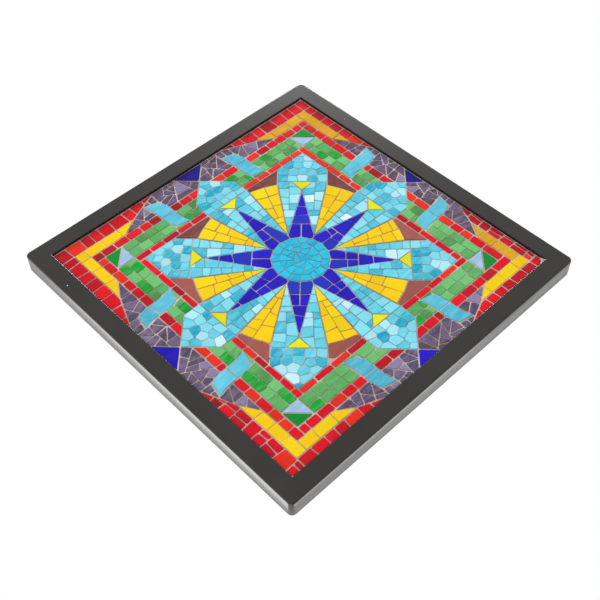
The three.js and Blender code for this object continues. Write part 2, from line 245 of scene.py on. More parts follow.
def inset(points: Outline, distance: float) -> Outline:
    """Moves each side of an outline inwards.

    Args:
        points: the outline, counter-clockwise.
        distance: how far the sides move.

    Returns:
        The smaller outline, or an empty list where nothing is left.
    """
    points = cleaned(points)
    result: Outline = []
    for i, p in enumerate(points):
        before = (Vector(p) - Vector(points[i - 1])).normalized()
        after = (Vector(points[(i + 1) % len(points)]) - Vector(p)).normalized()
        into = Vector((-before.y - after.y, before.x + after.x))
        scale = distance / max(1 + before.dot(after), LEAST_MITRE)
        result.append((p[0] + into.x * scale, p[1] + into.y * scale))
    return result if result and area_of(result) >= LEAST_INSET_AREA else []


def nipped(points: Outline, size: float, rng: random.Random) -> Outline:
    """Nips the corners off an outline and lets its points stray, as on hand-cut glass.

    Args:
        points: the outline.
        size: about how much of each side a nipped corner takes.
        rng: the source of chance.

    Returns:
        The outline with two points for each corner.
    """
    result: Outline = []
    for i, p in enumerate(points):
        for q in (points[i - 1], points[(i + 1) % len(points)]):
            reach = math.dist(p, q)
            u, v = between(p, q, min(size * rng.uniform(*NIP_RANGE), NIP_SHARE * reach) / reach)
            result.append((u + stray(rng, POINT_STRAY), v + stray(rng, POINT_STRAY)))
    return result


@dataclass(frozen=True)
class Courses:
    """How a region is cut across.

    Attributes:
        shortest: the shortest course.
        longest: the longest course.
        slant: how far a cut may turn from square.
    """

    shortest: float
    longest: float
    slant: float

    def cut(self, region: Outline, start: Point, end: Point, rng: random.Random) -> list[Outline]:
        """Cuts a region across along an axis.

        Args:
            region: the region.
            start: where the axis starts.
            end: where it ends.
            rng: the source of chance.

        Returns:
            The courses, in order.
        """
        reach = math.dist(start, end)
        square = math.atan2(end[1] - start[1], end[0] - start[0]) + QUARTER
        courses: list[Outline] = []
        at = 0.0
        while region:
            at += rng.uniform(self.shortest, self.longest)
            if at > reach - LAST_COURSE_SHARE * self.shortest:
                return [*courses, region]
            spot = between(start, end, at / reach)
            cut = square + stray(rng, self.slant)
            near = clipped(region, spot, polar(1.0, cut))
            if near and area_of(near) > LEAST_COURSE_AREA:
                courses.append(near)
            region = clipped(region, spot, polar(-1.0, cut))
        return courses


def shattered(region: Outline, size: float, rng: random.Random) -> list[Outline]:
    """Breaks a region into shards by straight cuts across its longer way.

    Args:
        region: the region.
        size: about how wide a shard is.
        rng: the source of chance.

    Returns:
        The shards.
    """
    if area_of(region) < size * size * rng.uniform(*SHARD_RANGE):
        return [region]
    middle = Vector(middle_of(region))
    longest = max((Vector(p) - middle for p in region), key=lambda d: d.length)
    origin = middle + longest * stray(rng, SHARD_SHIFT)
    angle = math.atan2(longest.y, longest.x) + QUARTER + stray(rng, SHARD_TURN)
    parts = halves(region, tuple(origin), angle)
    if len(parts) < 2:
        return [region]
    return [shard for part in parts for shard in shattered(part, size, rng)]


def around(region: Outline, seeds: list[Point]) -> list[Outline]:
    """Divides a region among seeds, each part nearer to its own seed than to any other.

    Args:
        region: the region.
        seeds: the points.

    Returns:
        The parts.
    """
    cells: list[Outline] = []
    for a in seeds:
        cell = region
        for b in seeds:
            if b is not a and cell:
                middle = ((a[0] + b[0]) / 2, (a[1] + b[1]) / 2)
                cell = clipped(cell, middle, (a[1] - b[1], b[0] - a[0]))
        if cell and area_of(cell) > LEAST_TESSERA_AREA:
            cells.append(cell)
    return cells


def shrunk(region: Outline) -> Outline:
    """Draws a field's outline in, so that the joint to the next field is a field joint."""
    return inset(region, (FIELD_JOINT - TILE_JOINT) / 2)


def stretch(inner: float, outer: float, starts: Point, ends: Point) -> Outline:
    """Draws a stretch of a band. Each end is given on the band's inner and outer line."""
    return shrunk([(inner, starts[0]), (outer, starts[1]), (outer, ends[1]), (inner, ends[0])])


def circle_at(u: float) -> float:
    """Gives how far along a side the circle is that the corner angles end at."""
    return math.sqrt(CIRCLE_RADIUS ** 2 - u ** 2)


def along_ribbon(u: float) -> float:
    """Gives how far along a ribbon a distance from the centre is, from -1 at its inner end to 1."""
    return (2 * u - RIBBON_IN - RIBBON_OUT) / (RIBBON_OUT - RIBBON_IN)


@dataclass(frozen=True)
class Arm:
    """Half of one side of the panel: u runs outwards and v along the side, away from its middle.

    Attributes:
        side: the number of the side, counter-clockwise from the right.
        half: 1 for the half that follows counter-clockwise, -1 for the other.
    """

    side: int
    half: int

    def ribbon(self, u: float, edge: int) -> float:
        """Works out how far along the side an edge of the ribbon is.

        Args:
            u: the distance from the pattern's centre.
            edge: -1 for the nearer edge, 1 for the farther one.

        Returns:
            The distance along the side.
        """
        s = max(-1.0, min(1.0, along_ribbon(u)))
        shift = self.half * (RIBBON_SHIFT + RIBBON_LEAN / 2 * s ** 3)
        return RIBBON_OFFSET + shift + edge * RIBBON_WIDTH / 2

    def ends(self, inner: float, outer: float, edge: int) -> Point:
        """Gives where an edge of the ribbon crosses a band's inner and outer line."""
        return (self.ribbon(inner, edge), self.ribbon(outer, edge))

    def put(self, outlines: list[Outline]) -> list[Outline]:
        """Takes outlines of the arm to their place in the pattern.

        Args:
            outlines: outlines in the arm's coordinates.

        Returns:
            The same outlines in the pattern's, still counter-clockwise.
        """
        mirrored = [[(u, self.half * v) for u, v in outline][::self.half] for outline in outlines]
        return [turned(outline, self.side * QUARTER) for outline in mirrored]


def arms_at(corner: Corner) -> tuple[Arm, Arm]:
    """Gives the two arms that meet at a corner."""
    return Arm(corner.value, 1), Arm((corner.value + 1) % 4, -1)


# Nodes and finishes


def linear(hex_colour: str) -> tuple[float, float, float, float]:
    """Turns an sRGB hex colour to the linear values that Blender's sockets take."""
    values = [int(hex_colour[i:i + 2], 16) / 255 for i in (1, 3, 5)]
    return tuple([v / 12.92 if v <= 0.04045 else ((v + 0.055) / 1.055) ** 2.4 for v in values] + [1.0])


def add_node(tree: Tree, kind: str, settings: dict | None = None,
             inputs: dict | None = None) -> bpy.types.Node:
    """Adds a node with its settings, values and links.

    Args:
        tree: the tree that it goes in.
        kind: the node's type name.
        settings: attributes to set, by name.
        inputs: for each input, by name or number, a value, a socket or node to link from, or a list of
            nodes. A node stands for the first of its outputs that is in use.

    Returns:
        The node.
    """
    node = tree.nodes.new(kind)
    for name, value in (settings or {}).items():
        setattr(node, name, value)
    for name, value in (inputs or {}).items():
        for source in value if isinstance(value, list) else [value]:
            if isinstance(source, bpy.types.Node):
                source = next(output for output in source.outputs if output.enabled)
            if isinstance(source, bpy.types.NodeSocket):
                tree.links.new(source, node.inputs[name])
            else:
                node.inputs[name].default_value = source
    return node


@dataclass(frozen=True)
class Finish:
    """A procedural material that is called by the real one's name.

    Attributes:
        name: the material's name.
        roughness: how matt its face is.
        gloss: the shader's specular level.
    """

    name: str
    roughness: float = 0.9
    gloss: float = 0.5

    def material(self) -> bpy.types.Material:
        """Makes the material, or finds the one already made.

        Returns:
            The material.
        """
        if self.name in bpy.data.materials:
            return bpy.data.materials[self.name]
        material = bpy.data.materials.new(self.name)
        material.use_nodes = True
        tree = material.node_tree
        tree.nodes.clear()
        shader = add_node(tree, "ShaderNodeBsdfPrincipled", inputs={
            "Roughness": self.roughness, "Specular IOR Level": self.gloss, **self.look(tree)})
        add_node(tree, "ShaderNodeOutputMaterial", inputs={"Surface": shader})
        return material

    def look(self, tree: Tree) -> dict[str, object]:
        """Adds the nodes of the material's own pattern.

        Args:
            tree: the material's tree.

        Returns:
            What goes into the shader, by input.
        """
        raise NotImplementedError


@dataclass(frozen=True)
class FloorFinish(Finish):
    """Plain matt floor paint, which catches the panel's shadow and nothing else.

    Attributes:
        colour: its sRGB colour.
    """

    name: str = "pale studio floor"
    colour: str = "#e8e8e6"

    def look(self, tree: Tree) -> dict[str, object]:
        """Gives the one colour."""
        return {"Base Color": linear(self.colour)}


@dataclass(frozen=True, kw_only=True)
class GlassFinish(Finish):
    """Opaque stained glass, rolled in sheets and cut by hand: glossy, faintly rippled, often streaky.

    Attributes:
        slot: the material slot of the pieces cut from it.
        tones: sRGB colours of the sheets it was cut from, with the share of the tesserae of each.
        streak_and_sheen: the paler colour of the bands that run through a sheet, partly streaky glass and
            partly painted sheen.
        joint: how wide the joints between its tesserae are.
        streak_and_sheen_share: how much of that colour shows where a band is strongest.
        streak_and_sheen_mm: the width of a band.
        streak_and_sheen_range: the noise values where a band starts and where it is strongest.
        sheet_turn: how far the bands turn from level, in radians.
        sheet_stretch: how much longer the bands are than wide, as the scale along them.
        ripple_mm: the width of a ripple.
        ripple_depth: how deep a ripple is.
    """

    roughness: float = 0.16
    gloss: float = 0.12
    slot: str
    tones: tuple[tuple[str, float], ...]
    streak_and_sheen: str
    joint: float
    streak_and_sheen_share: float = 0.25
    streak_and_sheen_mm: float = 5.0
    streak_and_sheen_range: Range = (0.42, 0.75)
    sheet_turn: float = 0.6
    sheet_stretch: float = 0.35
    ripple_mm: float = 3.5
    ripple_depth: float = 0.15

    def look(self, tree: Tree) -> dict[str, object]:
        """Gives each tessera the tone of its sheet, with paler bands, partly streaky glass and partly
        painted sheen, and a soft ripple.

        Args:
            tree: the material's tree.

        Returns:
            What goes into the shader, by input.
        """
        tone = add_node(tree, "ShaderNodeAttribute", {"attribute_name": "tone"})
        ramp = add_node(tree, "ShaderNodeValToRGB", inputs={"Fac": tone.outputs["Fac"]})
        self._fill(ramp.color_ramp)
        where = self._place(tree)
        # Paler bands: partly the streaks of the glass, partly painted sheen for the glints on its rippled
        # face.
        streaks_and_sheen = add_node(tree, "ShaderNodeTexNoise", inputs={
            "Vector": where, "Scale": 1 / (self.streak_and_sheen_mm * MM), "Detail": 3.0, "Distortion": 0.6})
        strength = add_node(tree, "ShaderNodeMapRange", inputs={
            "Value": streaks_and_sheen, "From Min": self.streak_and_sheen_range[0], "From Max": self.streak_and_sheen_range[1],
            "To Max": self.streak_and_sheen_share})
        colour = add_node(tree, "ShaderNodeMix", {"data_type": "RGBA"}, {
            "Factor": strength, "A": ramp, "B": linear(self.streak_and_sheen)})
        shade = add_node(tree, "ShaderNodeAttribute", {"attribute_name": "shade"})
        toned = add_node(tree, "ShaderNodeHueSaturation", inputs={
            "Color": colour, "Value": shade.outputs["Fac"]})
        ripple = add_node(tree, "ShaderNodeTexNoise", inputs={
            "Vector": where, "Scale": 1 / (self.ripple_mm * MM), "Detail": 1.0})
        bump = add_node(tree, "ShaderNodeBump", inputs={
            "Strength": 0.25, "Distance": self.ripple_depth * MM, "Height": ripple})
        return {"Base Color": toned, "Normal": bump}

    def _fill(self, ramp: bpy.types.ColorRamp) -> None:
        """Gives the ramp one flat stop for each tone.

        Args:
            ramp: the ramp to fill.
        """
        ramp.interpolation = "CONSTANT"
        total = sum(share for _, share in self.tones)
        at = 0.0
        for i, (colour, share) in enumerate(self.tones):
            stop = ramp.elements[i] if i < 2 else ramp.elements.new(0.99)
            stop.position = at / total
            stop.color = linear(colour)
            at += share
        if len(self.tones) == 1:
            ramp.elements.remove(ramp.elements[1])

    def _place(self, tree: Tree) -> bpy.types.Node:
        """Gives each tessera its own stretch of a streaky sheet, long along one way.

        Args:
            tree: the material's tree.

        Returns:
            The node with the place in the sheet.
        """
        here = add_node(tree, "ShaderNodeTexCoord")
        grain = add_node(tree, "ShaderNodeAttribute", {"attribute_name": "grain"})
        moved = add_node(tree, "ShaderNodeVectorMath", {"operation": "ADD"}, {
            0: here.outputs["Object"], 1: grain.outputs["Vector"]})
        return add_node(tree, "ShaderNodeMapping", inputs={
            "Vector": moved, "Rotation": (0, self.sheet_turn, 0), "Scale": (1.0, 1.0, self.sheet_stretch)})


# The paler colour given to each glass below is partly its real streaking and partly painted sheen.
RED = GlassFinish("red stained glass", slot="red_glass", tones=(
    ("#b9051b", 0.34), ("#c5091a", 0.25), ("#a3061a", 0.2), ("#c72616", 0.14), ("#8f091a", 0.07)),
    streak_and_sheen="#d5352e", joint=1.2, streak_and_sheen_share=0.15)
# The amber tones #bc8816 and #c09218 are painted shade, for the yellow band on the top side and the upper
# half of the left side.
YELLOW = GlassFinish("yellow stained glass", slot="yellow_glass", tones=(
    ("#d6ae02", 0.35), ("#d4b505", 0.25), ("#bc8816", 0.12), ("#c09218", 0.08), ("#c3c118", 0.2)),
    streak_and_sheen="#dec526", joint=0.6, streak_and_sheen_share=0.2)
GREEN = GlassFinish("green stained glass", slot="green_glass", tones=(
    ("#5da560", 0.42), ("#4d9250", 0.27), ("#058824", 0.2), ("#3e7940", 0.11)),
    streak_and_sheen="#7bc180", joint=0.6)
DEEP_GREEN = GlassFinish("deep green stained glass", slot="green_glass", tones=(("#09792a", 1.0),),
                         streak_and_sheen="#1b9631", joint=1.0, streak_and_sheen_share=0.2)
BLUE = GlassFinish("cobalt blue stained glass", slot="blue_glass", tones=(
    ("#1b0c9d", 0.4), ("#1f10ac", 0.24), ("#1d2aa1", 0.16), ("#16106b", 0.2)),
    streak_and_sheen="#3333ba", joint=0.75, streak_and_sheen_share=0.2)
CYAN = GlassFinish("cyan opalescent glass", slot="cyan_glass", tones=(
    ("#0b92af", 0.13), ("#2f9db5", 0.24), ("#50b1c5", 0.28), ("#6ebece", 0.23), ("#94c9d5", 0.09),
    ("#b7d5dc", 0.03)), streak_and_sheen="#92cedb", joint=0.55, streak_and_sheen_share=0.35)
TURQUOISE = GlassFinish("turquoise stained glass", slot="turquoise_glass", tones=(
    ("#18a3c3", 0.6), ("#1496ba", 0.4)), streak_and_sheen="#47c3d9", joint=0.6, streak_and_sheen_share=0.4, streak_and_sheen_mm=3.0)
RIBBON_BLUE = GlassFinish("sky blue opalescent glass", slot="turquoise_glass", tones=(
    ("#4ea8c0", 0.5), ("#439db7", 0.5)), streak_and_sheen="#7dc5d5", joint=0.8, streak_and_sheen_share=0.4)
PURPLE = GlassFinish("smoky purple glass", slot="purple_glass", tones=(
    ("#4c3d51", 0.38), ("#49405b", 0.28), ("#5c4d68", 0.26), ("#776b8f", 0.08)),
    streak_and_sheen="#897d9c", joint=1.15, streak_and_sheen_share=0.45, streak_and_sheen_mm=4.0)
LAVENDER = GlassFinish("lavender opalescent glass", slot="cyan_glass", tones=(("#88a6c7", 1.0),),
                       streak_and_sheen="#afc9dc", joint=1.0, streak_and_sheen_share=0.5)
BROWN = GlassFinish("brown stained glass", slot="red_glass", tones=(("#623531", 0.5), ("#884a43", 0.5)),
                    streak_and_sheen="#a1655e", joint=0.9)


# Parts of a glass's range of tones

PLAIN_YELLOW = (0.0, 0.6)
# Painted shade: the darker amber part of the yellow's range, for the yellow band on the top side and the
# upper half of the left side.
PAINTED_SHADE_YELLOW = (0.6, 0.8)
LEMON = (0.8, 1.0)
ORANGE_RED = (0.79, 0.93)
MID_GREEN = (0.0, 0.7)
RAY_BLUE = (0.0, 0.8)
NAVY = (0.8, 1.0)
PALER_CYAN = (0.15, 1.0)
DARK_BROWN = (0.0, 0.5)
ROSY_BROWN = (0.5, 1.0)


@dataclass(frozen=True)
class GroutFinish(Finish):
    """Pinkish grey cement grout, rubbed flat and slightly sandy, with a few pits; painted shade darkens the
    pits and the star's narrow joints.

    Attributes:
        colour: its usual colour.
        pale: its palest colour.
        dark: its darkest colour.
        stained: painted shade: the darker colour that stands in for the shade in the narrow joints of the
            star.
        pit: painted shade: the dark colour that stands in for the hollow of a pit.
        patch_mm: the width of a paler or darker patch.
        pit_mm: the distance between places where a pit may be.
        sand_mm: the width of a grain of sand.
    """

    name: str = "pinkish grey cement grout"
    gloss: float = 0.2
    colour: str = "#a99a92"
    pale: str = "#bdafa7"
    # Painted shade: the darker colour of the star's narrow joints, for the shade that falls in them.
    dark: str = "#918178"
    stained: str = "#877d74"
    # Painted shade for the hollow of a pit.
    pit: str = "#241e1b"
    patch_mm: float = 30.0
    pit_mm: float = 2.2
    sand_mm: float = 0.6

    def look(self, tree: Tree) -> dict[str, object]:
        """Adds the patches, the painted shade in the joints round the star, the pits and the sand.

        Args:
            tree: the material's tree.

        Returns:
            What goes into the shader, by input.
        """
        here = add_node(tree, "ShaderNodeTexCoord").outputs["Object"]
        patches = add_node(tree, "ShaderNodeTexNoise", inputs={
            "Vector": here, "Scale": 1 / (self.patch_mm * MM), "Detail": 4.0})
        ramp = add_node(tree, "ShaderNodeValToRGB", inputs={"Fac": patches})
        stops = ramp.color_ramp.elements
        stops[0].position, stops[0].color = 0.35, linear(self.dark)
        stops[1].position, stops[1].color = 0.65, linear(self.pale)
        stops.new(0.5).color = linear(self.colour)
        # Painted shade: the grout turns darker in the star's narrow joints, by a mark that the grout bed
        # sets.
        stain = add_node(tree, "ShaderNodeAttribute", {"attribute_name": "stain"})
        stained = add_node(tree, "ShaderNodeMix", {"data_type": "RGBA"}, {
            "Factor": stain.outputs["Fac"], "A": ramp, "B": linear(self.stained)})
        # Painted shade: each pit is a flat dark spot that stands in for its hollow.
        pits = add_node(tree, "ShaderNodeTexNoise", inputs={
            "Vector": here, "Scale": 1 / (self.pit_mm * MM), "Detail": 1.0})
        deep = add_node(tree, "ShaderNodeMapRange", inputs={
            "Value": pits, "From Min": 0.70, "From Max": 0.76})
        colour = add_node(tree, "ShaderNodeMix", {"data_type": "RGBA"}, {
            "Factor": deep, "A": stained, "B": linear(self.pit)})
        sand = add_node(tree, "ShaderNodeTexNoise", inputs={
            "Vector": here, "Scale": 1 / (self.sand_mm * MM), "Detail": 2.0})
        bump = add_node(tree, "ShaderNodeBump", inputs={
            "Strength": 0.5, "Distance": 0.2 * MM, "Height": sand})
        return {"Base Color": colour, "Normal": bump}


@dataclass(frozen=True)
class PaintFinish(Finish):
    """Charcoal satin paint on wood, a little uneven, with a fine brush grain and two pale flecks.

    Attributes:
        colour: the paint's colour.
        worn: its colour where it is thinner.
        fleck: the colour of the flecks.
        flecks: the place and the width of each fleck.
        cloud_mm: the width of a thinner place.
        grain_mm: the width of the brush grain.
    """

    name: str = "charcoal satin paint on wood"
    roughness: float = 0.24
    gloss: float = 0.36
    colour: str = "#1a1714"
    worn: str = "#211e1b"
    fleck: str = "#c2bdb4"
    flecks: tuple[Place, ...] = ((-134.2, -192.7, 1.3), (-115.9, 189.3, 0.8))
    cloud_mm: float = 60.0
    grain_mm: float = 1.4

    def look(self, tree: Tree) -> dict[str, object]:
        """Adds the thinner places, the flecks and the brush grain.

        Args:
            tree: the material's tree.

        Returns:
            What goes into the shader, by input.
        """
        here = add_node(tree, "ShaderNodeTexCoord").outputs["Object"]
        clouds = add_node(tree, "ShaderNodeTexNoise", inputs={
            "Vector": here, "Scale": 1 / (self.cloud_mm * MM), "Detail": 5.0})
        share = add_node(tree, "ShaderNodeMapRange", inputs={
            "Value": clouds, "From Min": 0.35, "From Max": 0.7})
        colour = add_node(tree, "ShaderNodeMix", {"data_type": "RGBA"}, {
            "Factor": share, "A": linear(self.colour), "B": linear(self.worn)})
        for u, v, size in self.flecks:
            away = add_node(tree, "ShaderNodeVectorMath", {"operation": "DISTANCE"}, {
                0: here, 1: space(u, v, FRAME_FRONT)})
            spot = add_node(tree, "ShaderNodeMapRange", inputs={
                "Value": away, "From Min": 0.4 * size * MM, "From Max": 0.6 * size * MM,
                "To Min": 1.0, "To Max": 0.0})
            colour = add_node(tree, "ShaderNodeMix", {"data_type": "RGBA"}, {
                "Factor": spot, "A": colour, "B": linear(self.fleck)})
        grain = add_node(tree, "ShaderNodeTexNoise", inputs={
            "Vector": here, "Scale": 1 / (self.grain_mm * MM), "Detail": 3.0})
        bump = add_node(tree, "ShaderNodeBump", inputs={
            "Strength": 0.25, "Distance": 0.1 * MM, "Height": grain})
        return {"Base Color": colour, "Normal": bump}


@dataclass(frozen=True)
class FibreboardFinish(Finish):
    """Fibreboard stained brown-black: matt, with its fibres a little paler than the colour between them.

    Attributes:
        light: the colour of the fibres.
        dark: the colour that the board is stained between them.
        fibre_mm: the width of a clump of fibres.
    """

    name: str = "brown-black stained fibreboard"
    roughness: float = 0.8
    light: str = "#41372f"
    dark: str = "#25201c"
    fibre_mm: float = 3.0

    def look(self, tree: Tree) -> dict[str, object]:
        """Adds the fibres.

        Args:
            tree: the material's tree.

        Returns:
            What goes into the shader, by input.
        """
        here = add_node(tree, "ShaderNodeTexCoord").outputs["Object"]
        fibres = add_node(tree, "ShaderNodeTexNoise", inputs={
            "Vector": here, "Scale": 1 / (self.fibre_mm * MM), "Detail": 6.0, "Distortion": 1.0})
        colour = add_node(tree, "ShaderNodeMix", {"data_type": "RGBA"}, {
            "Factor": fibres, "A": linear(self.dark), "B": linear(self.light)})
        bump = add_node(tree, "ShaderNodeBump", inputs={
            "Strength": 0.3, "Distance": 0.1 * MM, "Height": fibres})
        return {"Base Color": colour, "Normal": bump}


# Geometry nodes


def new_tree(name: str, sockets: dict[str, str]) -> Tree:
    """Makes an empty geometry node tree with named inputs and a geometry output.

    Args:
        name: the tree's name.
        sockets: the kind of each input by name, without the geometry and the material.

    Returns:
        The tree.
    """
    tree = bpy.data.node_groups.new(name, "GeometryNodeTree")
    for socket, kind in {"Geometry": "Geometry", **sockets, "Material": "Material"}.items():
        tree.interface.new_socket(socket, in_out="INPUT", socket_type=f"NodeSocket{kind}")
    tree.interface.new_socket("Geometry", in_out="OUTPUT", socket_type="NodeSocketGeometry")
    return tree


def finish_tree(tree: Tree, shape: bpy.types.Node, material: bpy.types.NodeSocket) -> None:
    """Ends a tree: instances made real, the material set and the result put out.

    Args:
        tree: the tree.
        shape: the geometry so far.
        material: the input with its material.
    """
    real = add_node(tree, "GeometryNodeRealizeInstances", inputs={"Geometry": shape})
    dressed = add_node(tree, "GeometryNodeSetMaterial", inputs={
        "Geometry": real, "Material": material})
    add_node(tree, "NodeGroupOutput", inputs={"Geometry": dressed})


def calculated(tree: Tree, operation: str, first: object, second: object = 0.0) -> bpy.types.Node:
    """Adds one step of arithmetic on nodes, sockets or numbers."""
    return add_node(tree, "ShaderNodeMath", {"operation": operation}, {0: first, 1: second})


def tessera_tree() -> Tree:
    """Makes the tree that turns flat outlines into solid, tilted tesserae with worn edges.

    Returns:
        The tree, with the inputs Thickness, Edge, Tilt, Seed and Material.
    """
    if "tesserae" in bpy.data.node_groups:
        return bpy.data.node_groups["tesserae"]
    tree = new_tree("tesserae", {"Thickness": "Float", "Edge": "Float", "Tilt": "Float", "Seed": "Int"})
    given = add_node(tree, "NodeGroupInput").outputs
    position = add_node(tree, "GeometryNodeInputPosition")
    base = add_node(tree, "GeometryNodeStoreNamedAttribute",
                    {"data_type": "FLOAT_VECTOR", "domain": "FACE"},
                    {"Geometry": given["Geometry"], "Name": "centre", "Value": position})
    walls = add_node(tree, "GeometryNodeExtrudeMesh", {"mode": "FACES"}, {
        "Mesh": base, "Individual": True,
        "Offset Scale": calculated(tree, "SUBTRACT", given["Thickness"], given["Edge"])})
    rim = add_node(tree, "GeometryNodeExtrudeMesh", {"mode": "FACES"}, {
        "Mesh": walls, "Selection": walls.outputs["Top"],
        "Offset Scale": given["Edge"], "Individual": True})
    area = add_node(tree, "GeometryNodeInputMeshFaceArea")
    width = calculated(tree, "SQRT", area)
    lost = calculated(tree, "DIVIDE", calculated(tree, "MULTIPLY", given["Edge"], 2.0), width)
    worn = add_node(tree, "GeometryNodeScaleElements", {"domain": "FACE"}, {
        "Geometry": rim, "Selection": rim.outputs["Top"],
        "Scale": calculated(tree, "SUBTRACT", 1.0, lost)})
    island = add_node(tree, "GeometryNodeInputMeshIsland")
    chance = add_node(tree, "FunctionNodeRandomValue", {"data_type": "FLOAT_VECTOR"}, {
        "Min": (-1.0, 0.0, -1.0), "Max": (1.0, 0.0, 1.0), "ID": island, "Seed": given["Seed"]})
    slope = add_node(tree, "ShaderNodeVectorMath", {"operation": "SCALE"}, {
        0: chance, "Scale": given["Tilt"]})
    centre = add_node(tree, "GeometryNodeInputNamedAttribute", {"data_type": "FLOAT_VECTOR"},
                      {"Name": "centre"})
    away = add_node(tree, "ShaderNodeVectorMath", {"operation": "SUBTRACT"}, {
        0: position, 1: centre})
    rise = add_node(tree, "ShaderNodeVectorMath", {"operation": "DOT_PRODUCT"}, {
        0: away, 1: slope})
    offset = add_node(tree, "ShaderNodeCombineXYZ", inputs={"Y": rise})
    upper = add_node(tree, "FunctionNodeBooleanMath", {"operation": "OR"}, {
        0: rim.outputs["Top"], 1: rim.outputs["Side"]})
    tilted = add_node(tree, "GeometryNodeSetPosition", inputs={
        "Geometry": worn, "Selection": upper,
        "Offset": offset})
    under = add_node(tree, "GeometryNodeFlipFaces", inputs={"Mesh": base})
    both = add_node(tree, "GeometryNodeJoinGeometry", inputs={
        "Geometry": [tilted, under]})
    closed = add_node(tree, "GeometryNodeMergeByDistance", inputs={
        "Geometry": both, "Distance": 0.01 * MM})
    finish_tree(tree, closed, given["Material"])
    return tree


def crumb_tree() -> Tree:
    """Makes the tree that sets a flat lump of grout on each of some points.

    Returns:
        The tree, with the inputs Size, Flatness, Seed and Material.
    """
    tree = new_tree("crumbs", {"Size": "Float", "Flatness": "Float", "Seed": "Int"})
    given = add_node(tree, "NodeGroupInput").outputs
    lump = add_node(tree, "GeometryNodeMeshIcoSphere", inputs={"Radius": 1.0, "Subdivisions": 2})
    scale = add_node(tree, "FunctionNodeRandomValue", {"data_type": "FLOAT"}, {
        "Min": 0.5, "Max": 1.0, "Seed": given["Seed"]})
    own = add_node(tree, "GeometryNodeInputNamedAttribute", {"data_type": "FLOAT"}, {"Name": "size"})
    width = calculated(tree, "MULTIPLY", scale, own)
    width = calculated(tree, "MULTIPLY", width, given["Size"])
    height = calculated(tree, "MULTIPLY", width, given["Flatness"])
    sizes = add_node(tree, "ShaderNodeCombineXYZ", inputs={"X": width, "Y": height, "Z": width})
    placed = add_node(tree, "GeometryNodeInstanceOnPoints", inputs={
        "Points": given["Geometry"], "Instance": lump, "Scale": sizes})
    finish_tree(tree, placed, given["Material"])
    return tree


def grown_by(piece: Piece, tree: Tree, values: dict[str, object]) -> None:
    """Runs a geometry node tree on an object and keeps the result as its plain mesh.

    Args:
        piece: the object.
        tree: the tree.
        values: the tree's input values by name.
    """
    modifier = piece.modifiers.new(tree.name, "NODES")
    modifier.node_group = tree
    for item in tree.interface.items_tree:
        if item.item_type == "SOCKET" and item.in_out == "INPUT" and item.name in values:
            modifier[item.identifier] = values[item.name]
    graph = bpy.context.evaluated_depsgraph_get()
    result = bpy.data.meshes.new_from_object(
        piece.evaluated_get(graph), preserve_all_data_layers=True, depsgraph=graph)
    piece.modifiers.remove(modifier)
    piece.data = result


# Pieces


def space(u: float, v: float, level: float) -> Place:
    """Gives the place in metres of a point of the panel at a level above the wall."""
    return (u * MM, -level * MM, v * MM)


def new_piece(name: str, points: list[Place], faces: list[tuple[int, ...]],
              material: bpy.types.Material | None = None,
              marks: dict[str, tuple[str, str, list]] | None = None) -> Piece:
    """Makes an object from points and faces at the origin of the row frame.

    Args:
        name: the piece's name.
        points: its points in metres.
        faces: its faces as numbers of points.
        material: its material, unless a tree sets it later.
        marks: for each attribute its kind, what it belongs to and its values.

    Returns:
        The object, in the scene.
    """
    mesh = bpy.data.meshes.new(name)
    mesh.from_pydata(points, [], faces)
    mesh.update()
    if material:
        mesh.materials.append(material)
    for mark, (kind, domain, values) in (marks or {}).items():
        attribute = mesh.attributes.new(mark, kind, domain)
        for item, value in zip(attribute.data, values):
            setattr(item, "vector" if kind == "FLOAT_VECTOR" else "value", value)
    piece = bpy.data.objects.new(name, mesh)
    bpy.context.scene.collection.objects.link(piece)
    return piece


def smoothed(piece: Piece, degrees: float) -> None:
    """Shades a piece smooth, apart from edges sharper than an angle."""
    piece.data.shade_smooth()
    piece.data.set_sharp_from_angle(angle=math.radians(degrees))


def declared(piece: Piece, slot: str, *nodes: str) -> None:
    """Puts a piece on its body, hides the CAD nodes that it stands for and logs its faces.

    Args:
        piece: the piece.
        slot: not used.
        nodes: the CAD nodes.
    """
    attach(piece, BODY)
    if nodes:
        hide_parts(*nodes)
    LOG.info("%s: %d faces", piece.name, len(piece.data.polygons))


